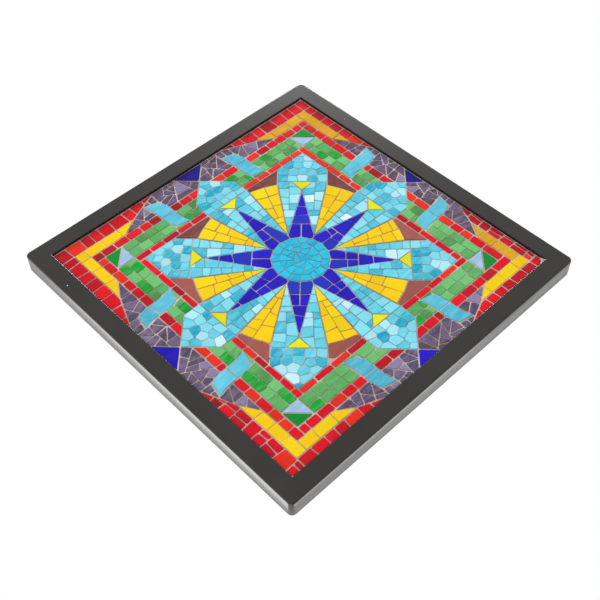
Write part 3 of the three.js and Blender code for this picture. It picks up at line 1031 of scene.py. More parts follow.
def laid(name: str, cells: list[Outline], finish: GlassFinish, node: str,
         sheets: Range | list[Range] = ALL_SHEETS, nip: float = NIP) -> None:
    """Cuts the cells of a field to tesserae and sets them in the panel.

    Args:
        name: the piece's name.
        cells: outlines in pattern coordinates that meet along the middles of the joints.
        finish: the glass.
        node: the CAD node that the field belongs to.
        sheets: the part of the finish's range that the field is cut from, or one such part for each cell.
        nip: about how much the corners lose.
    """
    rng = random.Random(name)
    edge = OPENING_HALF - FRAME_JOINT + finish.joint / 2
    limits = [((edge, 0.0), (0.0, 1.0)), ((0.0, edge), (-1.0, 0.0)),
              ((-edge, 0.0), (0.0, -1.0)), ((0.0, -edge), (1.0, 0.0))]
    points: list[Place] = []
    faces: list[tuple[int, ...]] = []
    tones: list[float] = []
    shades: list[float] = []
    grains: list[list[float]] = []
    parts = sheets if isinstance(sheets, list) else [sheets] * len(cells)
    for cell, part in zip(cells, parts):
        outline = [(u + PATTERN_SHIFT[0], v + PATTERN_SHIFT[1]) for u, v in cell]
        for origin, way in limits:
            outline = clipped(outline, origin, way)
        tile = inset(outline, finish.joint / 2 + rng.uniform(*JOINT_STRAY)) if outline else []
        if not tile or area_of(tile) < LEAST_TESSERA_AREA:
            continue
        shape = nipped(tile, nip, rng)
        faces.append(tuple(range(len(points), len(points) + len(shape))))
        points += [space(u, v, GLASS_BACK) for u, v in shape]
        tones.append(rng.uniform(*part))
        shades.append(rng.uniform(*SHADE_RANGE))
        grains.append([stray(rng, 1) for _ in range(3)])
    piece = new_piece(name, points, faces, marks={
        "tone": ("FLOAT", "FACE", tones), "shade": ("FLOAT", "FACE", shades),
        "grain": ("FLOAT_VECTOR", "FACE", grains)})
    grown_by(piece, tessera_tree(), {
        "Thickness": (GLASS_FRONT - GLASS_BACK) * MM, "Edge": WORN_EDGE * MM, "Tilt": TILT,
        "Seed": len(cells), "Material": finish.material()})
    declared(piece, finish.slot, node)


# Fields of glass


@dataclass
class CornerAngle:
    """A band of one glass that turns round a corner of the panel.

    Attributes:
        node: the CAD node, without the corner's name.
        outer: the band's outer square line.
        inner: its inner square line.
        start: where an arm starts, on the inner and on the outer line; None for the ribbon's edge.
        finish: the glass.
        courses: how it is cut across.
        split: the share of tesserae that are cut in two along the band, for the arms where some are.
        usual: the part of the glass's range that most arms are cut from.
        sheets: the part that an arm is cut from, for the arms where it is another one.
        split_shift: how far a cut along the band may lie inside and outside its middle.
        split_lean: how far such a cut may turn.
    """

    node: str
    outer: float
    inner: float
    start: Point | None
    finish: GlassFinish
    courses: Courses
    split: dict[Arm, float] = field(default_factory=dict)
    usual: Range = ALL_SHEETS
    sheets: dict[Arm, Range] = field(default_factory=dict)
    split_shift: Range = (-1.5, 2.0)
    split_lean: float = 0.08

    def build(self, corner: Corner) -> None:
        """Makes the angle at a corner.

        Args:
            corner: the corner.
        """
        name = f"{self.node}_{corner.name.lower()}"
        rng = random.Random(f"cut {name}")
        cells: list[Outline] = []
        sheets: list[Range] = []
        for arm in arms_at(corner):
            cut = arm.put(self._arm(arm, rng))
            cells += cut
            sheets += [self.sheets.get(arm, self.usual)] * len(cut)
        laid(f"{name}_glass", cells, self.finish, name, sheets)

    def _arm(self, arm: Arm, rng: random.Random) -> list[Outline]:
        """Cuts one arm. The arm that runs on takes the corner.

        Args:
            arm: the arm.
            rng: the source of chance.

        Returns:
            The cells in the arm's coordinates.
        """
        starts = self.start or arm.ends(self.inner, self.outer, 1)
        end = self.outer if arm.half > 0 else self.inner
        region = stretch(self.inner, self.outer, starts, (end, end))
        middle = (self.inner + min(self.outer, OPENING_HALF)) / 2
        cells: list[Outline] = []
        for course in self.courses.cut(region, (middle, min(starts)), (middle, end), rng):
            if rng.random() < self.split.get(arm, 0.0):
                spot = (middle + rng.uniform(*self.split_shift), middle_of(course)[1])
                cells += halves(course, spot, QUARTER + stray(rng, self.split_lean))
            else:
                cells.append(course)
        return cells


@dataclass
class GreenArm:
    """A stretch of the green band from a ribbon to a corner, laid in two rows.

    Attributes:
        courses: how it is cut across.
        middle_stray: how far the joint between the rows may lie from the band's middle.
        lean: how far that joint may turn.
        pivot: how far from the stretch's start it turns.
        lead: how far before the ribbon the first course starts.
    """

    courses: Courses = Courses(11.0, 17.0, 0.14)
    middle_stray: float = 0.8
    lean: float = 0.03
    pivot: float = 25.0
    lead: float = 2.0

    def build(self, arm: Arm, number: int, sheets: Range) -> None:
        """Makes the stretch in one arm of a side.

        Args:
            arm: the arm.
            number: the CAD node's number.
            sheets: the part of the glass's range that it is cut from.
        """
        rng = random.Random(f"cut green {number}")
        inner, outer = GREEN_INNER, OUTER_RED_INNER
        region = stretch(inner, outer, arm.ends(inner, outer, 1), (inner, inner))
        middle = (inner + outer) / 2 + stray(rng, self.middle_stray)
        start = (middle, arm.ribbon(middle, 1) - self.lead)
        lean = stray(rng, self.lean)
        cells: list[Outline] = []
        for row in halves(region, (middle, start[1] + self.pivot), QUARTER + lean):
            cells += self.courses.cut(row, start, (middle, inner), rng)
        laid(f"green_{number}_glass", arm.put(cells), GREEN, f"green_{number}", sheets)


@dataclass
class Petal:
    """One of the eight cyan petals, round a ray and the yellow triangle beyond it.

    Attributes:
        courses: how the glass beside the ray is cut across.
        fork: where one column of tesserae beside the ray becomes two.
        lead: how far the start of a column may shift along it.
        column_stray: how far the joint between the columns may stray at its end.
        shard: about how wide a tessera of the head is.
        first_row: where the first row of the head lies, in shards from its start.
        row: the least and greatest distance between rows, in shards.
        stray: how far the middle of a shard may stray, along and across.
    """

    courses: Courses = Courses(9.5, 15.0, 0.2)
    fork: float = 70.0
    lead: float = 3.0
    column_stray: float = 1.5
    shard: float = 10.5
    first_row: float = 0.45
    row: Range = (0.85, 1.05)
    stray: Range = (2.4, 2.0)

    def build(self, number: int, place: str) -> None:
        """Makes a petal.

        Args:
            number: how many eighths of a turn it stands from the right.
            place: its direction, as in the CAD node's name.
        """
        rng = random.Random(f"cut petal {number}")
        cells = self._flank(rng)
        cells += [[(u, -v) for u, v in cell[::-1]] for cell in self._flank(rng)]
        head = shrunk([(STAR_HALF, -PETAL_HALF), (SHOULDER, -PETAL_HALF), (PETAL_TIP, 0.0),
                       (SHOULDER, PETAL_HALF), (STAR_HALF, PETAL_HALF)])
        shards = around(head, self._seeds(rng))
        sheets = [PALER_CYAN] * len(cells) + [ALL_SHEETS] * len(shards)
        cells = [turned(cell, number * STEP) for cell in cells + shards]
        laid(f"petal_{place}_glass", cells, CYAN, f"petal_{place}", sheets)

    def _seeds(self, rng: random.Random) -> list[Point]:
        """Spreads the middles of the head's shards in loose rows.

        Args:
            rng: the source of chance.

        Returns:
            The middles.
        """
        seeds: list[Point] = []
        along, across = self.stray
        u = STAR_HALF + self.shard * self.first_row
        while u < PETAL_TIP:
            reach = min(PETAL_HALF, PETAL_TIP - u)
            count = max(1, round(2 * reach / self.shard))
            for i in range(count):
                v = reach * ((2 * i + 1) / count - 1)
                seeds.append((u + stray(rng, along), v + stray(rng, across)))
            u += self.shard * rng.uniform(*self.row)
        return seeds

    def _flank(self, rng: random.Random) -> list[Outline]:
        """Cuts the glass beside a ray, from the star's base to the level of the triangle's base.

        Args:
            rng: the source of chance.

        Returns:
            The cells on the side of positive v.
        """
        region = shrunk([RAY_BASE, RAY_TIP, TRIANGLE_APEX, (STAR_HALF, TRIANGLE_HALF),
                         (STAR_HALF, PETAL_HALF)])
        fork = (self.fork, self._centre(self.fork))
        end = (STAR_HALF, self._centre(STAR_HALF) + stray(rng, self.column_stray))
        near = clipped(region, (self.fork, 0.0), (0.0, 1.0))
        far = clipped(region, (self.fork, 0.0), (0.0, -1.0))
        start = (RAY_BASE[0] + self.lead, RAY_BASE[1])
        cells = self.courses.cut(near, start, fork, rng)
        for column in halves(far, fork, math.atan2(end[1] - fork[1], end[0] - fork[0])):
            start = (self.fork + stray(rng, self.lead), fork[1])
            cells += self.courses.cut(column, start, end, rng)
        return cells

    def _centre(self, u: float) -> float:
        """Works out the middle of the flank at a distance along the petal.

        Args:
            u: the distance from the pattern's centre.

        Returns:
            How far the middle is from the petal's axis.
        """
        inner = RAY_BASE[1] + (RAY_TIP[1] - RAY_BASE[1]) * (u - RAY_BASE[0]) / (RAY_TIP[0] - RAY_BASE[0])
        share = (u - RAY_BASE[0]) / (STAR_HALF - RAY_BASE[0])
        return (max(inner, 0.0) + RAY_BASE[1] + (PETAL_HALF - RAY_BASE[1]) * share) / 2


@dataclass
class Star:
    """Eight pointed blue rays. The first courses of each are laid two across.

    Attributes:
        courses: how it is cut across.
        paired: the least and greatest distance from the disc that is laid two across.
    """

    courses: Courses = Courses(12.0, 22.0, 0.3)
    paired: Range = (18.0, 32.0)

    def build(self) -> None:
        """Makes the rays as one piece."""
        cells: list[Outline] = []
        for number in range(8):
            rng = random.Random(f"cut ray {number}")
            cells += [turned(cell, number * STEP) for cell in self._ray(rng)]
        laid("star_rays_glass", cells, BLUE, "star_rays", RAY_BLUE)

    def _ray(self, rng: random.Random) -> list[Outline]:
        """Cuts one ray.

        Args:
            rng: the source of chance.

        Returns:
            The cells of the ray that points right.
        """
        rim = polar(DISC_RADIUS, STEP / 2)
        upper = [(DISC_RADIUS, 0.0), (RAY_TIP[0], 0.0), RAY_TIP, RAY_BASE, rim]
        lower = [(u, -v) for u, v in upper[::-1]]
        whole = shrunk([(RAY_TIP[0], -RAY_TIP[1]), RAY_TIP, RAY_BASE, (RAY_BASE[0], -RAY_BASE[1])])
        end = (DISC_RADIUS + rng.uniform(*self.paired), 0.0)
        cells: list[Outline] = []
        for part in (upper, lower):
            near = shrunk(clipped(part, end, (0.0, 1.0)))
            cells += self.courses.cut(near, (DISC_RADIUS, 0.0), end, rng)
        far = clipped(whole, end, (0.0, -1.0))
        return cells + self.courses.cut(far, end, RAY_TIP, rng)


@dataclass
class Wedge:
    """One of the eight yellow wedges between the petals, two tesserae across where it is wide.

    Attributes:
        narrow: how the narrow part is cut across.
        wide: how the wide part is cut across.
        fork: how far from the narrow end one column becomes two.
        fork_stray: how far that place may stray.
        lead: how far the start of a column may shift along it.
        column_stray: how far the joint between the columns may lie from the middle.
        lean: how far that joint may turn.
    """

    narrow: Courses = Courses(12.0, 19.0, 0.2)
    wide: Courses = Courses(12.0, 19.0, 0.25)
    fork: float = 22.0
    fork_stray: float = 5.0
    lead: float = 4.0
    column_stray: float = 1.0
    lean: float = 0.06

    def build(self, number: int) -> None:
        """Makes a wedge.

        Args:
            number: its number, counter-clockwise from just above the right.
        """
        rng = random.Random(f"cut wedge {number}")
        start = RAY_BASE_RADIUS
        arc = [polar(WEDGE_RADIUS, WEDGE_SPREAD * s) for s in (-1.0, 0.0, 1.0)]
        region = shrunk([(start, 0.0), *arc])
        fork = (start + self.fork + stray(rng, self.fork_stray), 0.0)
        near = clipped(region, fork, (0.0, 1.0))
        cells = self.narrow.cut(near, (start + self.lead, 0.0), fork, rng)
        centre = ((fork[0] + WEDGE_RADIUS) / 2, stray(rng, self.column_stray))
        lean = stray(rng, self.lean)
        for column in halves(clipped(region, fork, (0.0, -1.0)), centre, lean):
            first = (fork[0] + stray(rng, self.lead), 0.0)
            cells += self.wide.cut(column, first, (WEDGE_RADIUS, 0.0), rng)
        cells = [turned(cell, (number - 0.5) * STEP) for cell in cells]
        laid(f"wedge_{number}_glass", cells, YELLOW, f"wedge_{number}", PLAIN_YELLOW)


@dataclass
class Disc:
    """The crazy-cut disc at the centre, with a ring of tesserae along its rim.

    Attributes:
        inner_radius: the radius inside the ring.
        radius_stray: how far it may fall short and go beyond.
        ring_count: the number of tesserae in the ring.
        cut_stray: how far a cut in the ring may stray, as a share of a tessera.
        shard: about how wide a shard inside the ring is.
    """

    inner_radius: float = 22.0
    radius_stray: Range = (-2.0, 1.0)
    ring_count: int = 15
    cut_stray: float = 0.25
    shard: float = 8.8

    def build(self) -> None:
        """Makes the disc."""
        rng = random.Random("cut disc")
        region = shrunk([polar(DISC_RADIUS, i * STEP / 2) for i in range(16)])
        pitch = 2 * math.pi / self.ring_count
        cuts = [(i + stray(rng, self.cut_stray)) * pitch for i in range(self.ring_count)]
        inner = [polar(self.inner_radius + rng.uniform(*self.radius_stray), cut) for cut in cuts]
        cells = shattered(inner, self.shard, rng)
        for i, cut in enumerate(cuts):
            j = (i + 1) % self.ring_count
            cell = clipped(region, (0.0, 0.0), polar(1.0, cut))
            cell = clipped(cell, polar(1.0, cuts[j]), polar(-1.0, cuts[j]))
            cells.append(clipped(cell, inner[j], (inner[i][0] - inner[j][0], inner[i][1] - inner[j][1])))
        laid("centre_disc_glass", cells, TURQUOISE, "centre_disc")


@dataclass
class Ribbon:
    """A light blue S-shaped ribbon across the bands, cut from two tesserae.

    Attributes:
        steps: the number of straight steps in a long edge of one tessera.
        flare: how far the pointed corner of an end reaches out.
        round_off: how far the other corner is drawn in.
        bend: how close to the ends the two do so, as a power.
        middle_stray: how far the joint between the tesserae may lie from the middle.
        nip: about how much the corners lose.
    """

    steps: int = 6
    flare: float = 1.6
    round_off: float = 1.2
    bend: int = 6
    middle_stray: float = 4.0
    nip: float = 0.5

    def build(self, arm: Arm, number: int) -> None:
        """Makes a ribbon.

        Args:
            arm: the half side that it crosses.
            number: the CAD node's number.
        """
        rng = random.Random(f"cut ribbon {number}")
        middle = (RIBBON_IN + RIBBON_OUT) / 2 + stray(rng, self.middle_stray)
        cells = [self._part(arm, RIBBON_IN, middle), self._part(arm, middle, RIBBON_OUT)]
        laid(f"ribbon_{number}_glass", arm.put(cells), RIBBON_BLUE, f"ribbon_{number}", nip=self.nip)

    def _part(self, arm: Arm, start: float, end: float) -> Outline:
        """Draws the part of a ribbon between two distances from the pattern's centre.

        Args:
            arm: the half side.
            start: the smaller distance.
            end: the larger.

        Returns:
            The outline in the arm's coordinates, counter-clockwise.
        """
        line = [start + (end - start) * i / self.steps for i in range(self.steps + 1)]
        near, far = [[self._edge_point(arm, u, edge) for u in line] for edge in (-1, 1)]
        return shrunk([*near, *far[::-1]])

    def _edge_point(self, arm: Arm, u: float, edge: int) -> Point:
        """Works out a point of a long edge.

        Args:
            arm: the half side.
            u: the distance from the pattern's centre, before the slant.
            edge: -1 for the nearer edge, 1 for the farther one.

        Returns:
            The point in the arm's coordinates.
        """
        share = along_ribbon(u)
        slant = edge * arm.half * RIBBON_SLANT / 2
        reach = self.flare if edge * arm.half * share > 0 else -self.round_off
        return (u + slant * abs(share), arm.ribbon(u, edge) + edge * reach * abs(share) ** self.bend)


@dataclass
class SideField:
    """Crazy-cut purple glass at the middle of a side, round a blue triangle.

    Attributes:
        shard: about how wide a shard is.
    """

    shard: float = 11.0

    def build(self, side: Side) -> None:
        """Makes the purple glass before and beyond the ribbons, and the triangle.

        Args:
            side: the side.
        """
        name = f"side_{side.name.lower()}"
        rng = random.Random(f"cut {name}")
        inner: list[Outline] = []
        outer: list[Outline] = []
        for arm in (Arm(side.value, 1), Arm(side.value, -1)):
            before, beyond = self._half(arm, rng)
            inner += arm.put(before)
            outer += arm.put(beyond)
        laid(f"{name}_glass", inner, PURPLE, name)
        laid(f"{name}_ends", outer, PURPLE, "grout_bed")
        reach = PANEL_HALF - PETAL_TIP
        triangle = shrunk([(PETAL_TIP, 0.0), (PANEL_HALF, -reach), (PANEL_HALF, reach)])
        sheets = NAVY if side in (Side.TOP, Side.LEFT) else RAY_BLUE
        laid(f"{name}_triangle", [turned(triangle, side.value * QUARTER)], BLUE, name, sheets)

    def _half(self, arm: Arm, rng: random.Random) -> tuple[list[Outline], list[Outline]]:
        """Cuts the purple glass on one side of the triangle.

        Args:
            arm: the half side.
            rng: the source of chance.

        Returns:
            The shards before and beyond the middle of the ribbon, in the arm's coordinates.
        """
        inner, outer = YELLOW_INNER, PANEL_HALF
        low_in, low_out = arm.ends(inner, RIBBON_OUT, -1)
        high_in, high_out = arm.ends(inner, RIBBON_OUT, 1)
        below = [(PETAL_TIP, 0.0), (outer, outer - PETAL_TIP), (outer, low_out), (RIBBON_OUT, low_out),
                 (inner, low_in), (inner, PETAL_TIP - inner)]
        centre = (low_out + high_out) / 2
        slant = arm.half * RIBBON_SLANT / 2
        near_end = [(RIBBON_OUT - slant, low_out), (outer, low_out), (outer, centre), (RIBBON_OUT, centre)]
        far_end = [(RIBBON_OUT, centre), (outer, centre), (outer, high_out), (RIBBON_OUT + slant, high_out)]
        above = [(inner, high_in), (RIBBON_OUT, high_out), (outer, high_out), (outer, circle_at(inner)),
                 (inner, circle_at(inner))]
        return (self._shards([below, near_end], rng), self._shards([far_end, above], rng))

    def _shards(self, regions: list[Outline], rng: random.Random) -> list[Outline]:
        """Keeps regions inside the circle and breaks them into shards.

        Args:
            regions: the regions in an arm's coordinates.
            rng: the source of chance.

        Returns:
            The shards.
        """
        shards: list[Outline] = []
        for region in regions:
            for u0, u1 in ((OPENING_HALF, BORDER_INNER), (BORDER_INNER, YELLOW_INNER)):
                start, end = (u0, circle_at(u0)), (u1, circle_at(u1))
                region = clipped(region, start, (end[0] - start[0], end[1] - start[1])) if region else []
            region = shrunk(region) if region else []
            if region:
                shards += shattered(region, self.shard, rng)
        return shards


@dataclass
class SmallTiles:
    """The fields of only a few tesserae each, set straight into the grout bed.

    Attributes:
        node: the CAD node that they belong to.
        reds: how the short reds are cut across.
        red_lead: how far beyond the petal the axis of their cuts starts.
        greens: how the short greens are cut across.
        green_lead: how far beyond the petal the axis of their cuts starts.
        sliver_joint: how far the sliver beside a ribbon is drawn in.
        dark: the arms whose wedge slips are cut from the darker brown.
    """

    node: str = "grout_bed"
    reds: Courses = Courses(12.0, 17.0, 0.1)
    red_lead: float = 3.0
    greens: Courses = Courses(9.0, 15.0, 0.12)
    green_lead: float = 2.0
    sliver_joint: float = 0.15
    dark: tuple[Arm, ...] = (Arm(Side.TOP.value, 1), Arm(Side.LEFT.value, 1), Arm(Side.LEFT.value, -1))

    def build(self) -> None:
        """Makes a piece for each kind of small tile."""
        arms = [Arm(side, half) for side in range(4) for half in (1, -1)]
        rng = random.Random("cut small tiles")
        triangle = shrunk([TRIANGLE_APEX, (STAR_HALF, -TRIANGLE_HALF), (STAR_HALF, TRIANGLE_HALF)])
        slips = {arm: arm.put([self._slip()])[0] for arm in arms}
        reds = [cell for arm in arms for cell in arm.put(self._reds(arm, rng))]
        greens = [cell for arm in arms for cell in arm.put([*self._greens(arm, rng), self._sliver(arm)])]
        low, high = GREEN_INNER, OUTER_RED_INNER
        pale = [turned(shrunk([(low, low), (high, low), (low, high)]), i * QUARTER) for i in range(4)]
        deep = [turned(shrunk([(high, low), (high, high), (low, high)]), i * QUARTER) for i in range(4)]
        kinds = [
            ("ray_triangles", [turned(triangle, i * STEP) for i in range(8)], YELLOW, LEMON),
            ("wedge_slips_dark", [slips[arm] for arm in arms if arm in self.dark], BROWN, DARK_BROWN),
            ("wedge_slips_rosy", [slips[arm] for arm in arms if arm not in self.dark], BROWN, ROSY_BROWN),
            ("short_reds", reds, RED, ALL_SHEETS),
            ("short_greens", greens, GREEN, ALL_SHEETS),
            ("corner_triangles_pale", pale, LAVENDER, ALL_SHEETS),
            ("corner_triangles_green", deep, DEEP_GREEN, ALL_SHEETS),
        ]
        for name, cells, finish, sheets in kinds:
            laid(name, cells, finish, self.node, sheets)

    def _slip(self) -> Outline:
        """Draws the slip between a wedge's round end and the inner red band.

        Returns:
            The outline in an arm's coordinates.
        """
        near, middle, far = [polar(WEDGE_RADIUS, STEP / 2 + WEDGE_SPREAD * s) for s in (-1.0, 0.0, 1.0)]
        shoulder, corner = turned([(STAR_HALF, -PETAL_HALF), (SHOULDER, -PETAL_HALF)], STEP)
        return shrunk([near, (STAR_HALF, PETAL_HALF), (STAR_HALF, corner[1]), shoulder, far, middle])

    def _reds(self, arm: Arm, rng: random.Random) -> list[Outline]:
        """Cuts the outer red band between a petal and a ribbon.

        Args:
            arm: the arm.
            rng: the source of chance.

        Returns:
            The cells in the arm's coordinates.
        """
        inner, outer = OUTER_RED_INNER, YELLOW_INNER
        region = stretch(inner, outer, (PETAL_TIP - inner, PETAL_TIP - outer), arm.ends(inner, outer, -1))
        middle = (inner + outer) / 2
        start, end = (middle, PETAL_TIP - outer + self.red_lead), (middle, arm.ribbon(middle, -1))
        return self.reds.cut(region, start, end, rng)

    def _sliver(self, arm: Arm) -> Outline:
        """Draws the sliver between the inner red band and the slanted end of a ribbon.

        Args:
            arm: the arm.

        Returns:
            The outline in the arm's coordinates.
        """
        low, high = arm.ribbon(RIBBON_IN, -1), arm.ribbon(RIBBON_IN, 1)
        wide, narrow = (high, low) if arm.half > 0 else (low, high)
        triangle = [(GREEN_INNER, narrow), (RIBBON_IN + RIBBON_SLANT / 2, wide), (GREEN_INNER, wide)]
        return inset(triangle if area_of(triangle) > 0 else triangle[::-1], self.sliver_joint)

    def _greens(self, arm: Arm, rng: random.Random) -> list[Outline]:
        """Cuts the green band between a petal and a ribbon, in two rows.

        Args:
            arm: the arm.
            rng: the source of chance.

        Returns:
            The cells in the arm's coordinates.
        """
        inner, outer = GREEN_INNER, OUTER_RED_INNER
        middle = (inner + outer) / 2
        first = stretch(inner, middle, (PETAL_HALF, PETAL_HALF), arm.ends(inner, middle, -1))
        tips = (PETAL_TIP - middle, PETAL_TIP - outer)
        second = stretch(middle, outer, tips, arm.ends(middle, outer, -1))
        cells: list[Outline] = []
        for row in (first, second):
            along = [v for _, v in row]
            start, end = (middle, min(along) + self.green_lead), (middle, max(along))
            cells += self.greens.cut(row, start, end, rng)
        return cells


# Grout and frame


@dataclass
class GroutBed:
    """The grout that fills the opening up to just below the face of the glass, gently uneven.

    Attributes:
        gap: the gap between the grout and the frame.
        spacing: the distance between points of its face.
        unevenness: how far its face strays up and down.
        swell: the width of a swell of its face.
        sharp_from: the angle in degrees from which an edge looks sharp.
        painted_shade_radius: how far the painted shade of the joints reaches from the middle of the star.
        painted_shade_fade: over what distance the painted shade fades out.
        ray_stain: how strong the painted shade is along the blue rays, as a share of the rest of the star.
    """

    gap: float = 0.05
    spacing: float = 4.0
    unevenness: float = 0.15
    swell: float = 23.0
    sharp_from: float = 40.0
    painted_shade_radius: float = 118.0
    painted_shade_fade: float = 12.0
    ray_stain: float = 0.15

    def build(self) -> None:
        """Makes the bed as one closed piece."""
        half = OPENING_HALF - self.gap
        count = round(2 * half / self.spacing)
        line = [-half + 2 * half * i / count for i in range(count + 1)]
        points: list[Place] = []
        for v in line:
            for u in line:
                rise = self.unevenness * noise.noise(Vector((u / self.swell, v / self.swell, 0.0)))
                points.append(space(u, v, GROUT_FRONT + rise))
        # Painted shade: the grout darkens in the star's narrow joints, and only a little along the rays.
        stain = [self._stain(p[0] / MM - PATTERN_SHIFT[0], p[2] / MM - PATTERN_SHIFT[1]) for p in points]
        wide = count + 1
        faces = [(r * wide + c, r * wide + c + 1, (r + 1) * wide + c + 1, (r + 1) * wide + c)
                 for r in range(count) for c in range(count)]
        rim = [*range(wide), *[r * wide + count for r in range(1, wide)],
               *[count * wide + c for c in range(count - 1, -1, -1)],
               *[r * wide for r in range(count - 1, 0, -1)]]
        first = len(points)
        points += [(points[i][0], -BED_BACK * MM, points[i][2]) for i in rim]
        stain += [stain[i] for i in rim]
        for i, top in enumerate(rim):
            j = (i + 1) % len(rim)
            faces.append((top, first + i, first + j, rim[j]))
        faces.append(tuple(range(first + len(rim) - 1, first - 1, -1)))
        piece = new_piece("grout_face", points, faces, GroutFinish().material(),
                          {"stain": ("FLOAT", "POINT", stain)})
        smoothed(piece, self.sharp_from)
        declared(piece, "grout", "grout_bed")

    def _stain(self, u: float, v: float) -> float:
        """Works out how much painted shade the grout takes at a place in the pattern.

        Args:
            u: the place to the right of the star's middle.
            v: the place above it.

        Returns:
            The strength of the painted shade, from 0 to 1.
        """
        reach = math.hypot(u, v)
        stain = min(1.0, max(0.0, (self.painted_shade_radius - reach) / self.painted_shade_fade))
        angle = (math.atan2(v, u) + STEP / 2) % STEP - STEP / 2
        along, across = polar(reach, angle)
        ray_half = RAY_BASE[1] * (RAY_TIP[0] - along) / (RAY_TIP[0] - RAY_BASE[0])
        on_ray = along > DISC_RADIUS - FIELD_JOINT and abs(across) < ray_half + FIELD_JOINT
        return stain * self.ray_stain if on_ray else stain


@dataclass
class Frame:
    """The painted surround: square, with rounded corners and edges and a rabbet behind.

    Attributes:
        corner: the radius of its corners.
        inner_corner: the radius of the opening's corners.
        edge: the radius of its outer front edge.
        inner_edge: the radius of the edge beside the glass.
        back_edge: how much its back edge is eased.
        edge_steps: the number of steps in the outer front edge.
        guard: how far from a rounding its softened shade ends, so that the flat faces look flat.
        rabbet: the half width of the opening that the board lies in.
        steps: the number of steps in a corner.
        sharp_from: the angle in degrees from which an edge looks sharp.
    """

    corner: float = 5.5
    inner_corner: float = 0.3
    edge: float = 1.8
    inner_edge: float = 0.3
    back_edge: float = 1.0
    edge_steps: int = 5
    guard: float = 0.6
    rabbet: float = 188.0
    steps: int = 8
    sharp_from: float = 30.0

    def build(self) -> None:
        """Makes the frame as one closed piece."""
        rings = [self._ring(half, level) for half, level in self._profile()]
        size = len(rings[0])
        points = [p for ring in rings for p in ring]
        faces: list[tuple[int, ...]] = []
        for r in range(len(rings)):
            a, b = r * size, ((r + 1) % len(rings)) * size
            for i in range(size):
                j = (i + 1) % size
                faces.append((a + i, a + j, b + j, b + i))
        piece = new_piece("painted_frame", points, faces, PaintFinish().material())
        smoothed(piece, self.sharp_from)
        declared(piece, "frame_paint", "frame")

    def _profile(self) -> list[Point]:
        """Draws the section of a rail.

        Returns:
            Half width and level of its points, from the glass outwards and back.
        """
        front, outer, inner = FRAME_FRONT, PANEL_HALF, OPENING_HALF
        small, large, back = self.inner_edge, self.edge, self.back_edge
        section = [(inner, BED_BACK), (inner, front - small)]
        section += [(inner + small * (1 - math.cos(a)), front - small * (1 - math.sin(a)))
                    for a in (math.pi / 6, math.pi / 3, QUARTER)]
        section += [(inner + small + self.guard, front), (outer - large - self.guard, front)]
        section += [(outer - large * (1 - math.sin(a)), front - large * (1 - math.cos(a)))
                    for a in (i * QUARTER / self.edge_steps for i in range(self.edge_steps + 1))]
        section += [(outer, front - large - self.guard), (outer, back)]
        section += [(outer - 0.3 * back, 0.3 * back), (outer - back, 0.0)]
        return [*section, (self.rabbet, 0.0), (self.rabbet, BED_BACK)]

    def _ring(self, half: float, level: float) -> list[Place]:
        """Draws a square with rounded corners at a level.

        Args:
            half: half its width.
            level: the level above the wall.

        Returns:
            Its points, counter-clockwise from the front.
        """
        radius = max(self.inner_corner, self.corner - (PANEL_HALF - half))
        ring: list[Place] = []
        for quarter in range(4):
            centre = turned([(half - radius, half - radius)], quarter * QUARTER)[0]
            for i in range(self.steps + 1):
                du, dv = polar(radius, quarter * QUARTER + i * QUARTER / self.steps)
                ring.append(space(centre[0] + du, centre[1] + dv, level))
        return ring


@dataclass
class Crumbs:
    """Crumbs of grout left in the opening's corners and one on the frame's right edge.

    Attributes:
        spots: for each crumb its place, its level and its size.
        flatness: the height of a crumb as a share of its width.
        seed: the seed of their sizes.
    """

    spots: tuple[tuple[float, float, float, float], ...] = (
        (178.6, 178.9, 19.4, 3.2), (176.2, 179.1, 19.2, 2.4), (179.2, 175.4, 19.2, 2.0),
        (-179.4, 178.6, 18.9, 1.6), (179.3, -178.9, 18.9, 1.5), (198.6, 16.6, 21.5, 1.3))
    flatness: float = 0.3
    seed: int = 3

    def build(self) -> None:
        """Makes all crumbs as one piece."""
        points = [space(u, v, level) for u, v, level, _ in self.spots]
        sizes = [size for _, _, _, size in self.spots]
        piece = new_piece("grout_crumbs", points, [], marks={"size": ("FLOAT", "POINT", sizes)})
        grown_by(piece, crumb_tree(), {
            "Size": MM, "Flatness": self.flatness, "Seed": self.seed, "Material": GroutFinish().material()})
        declared(piece, "grout")


# Studio


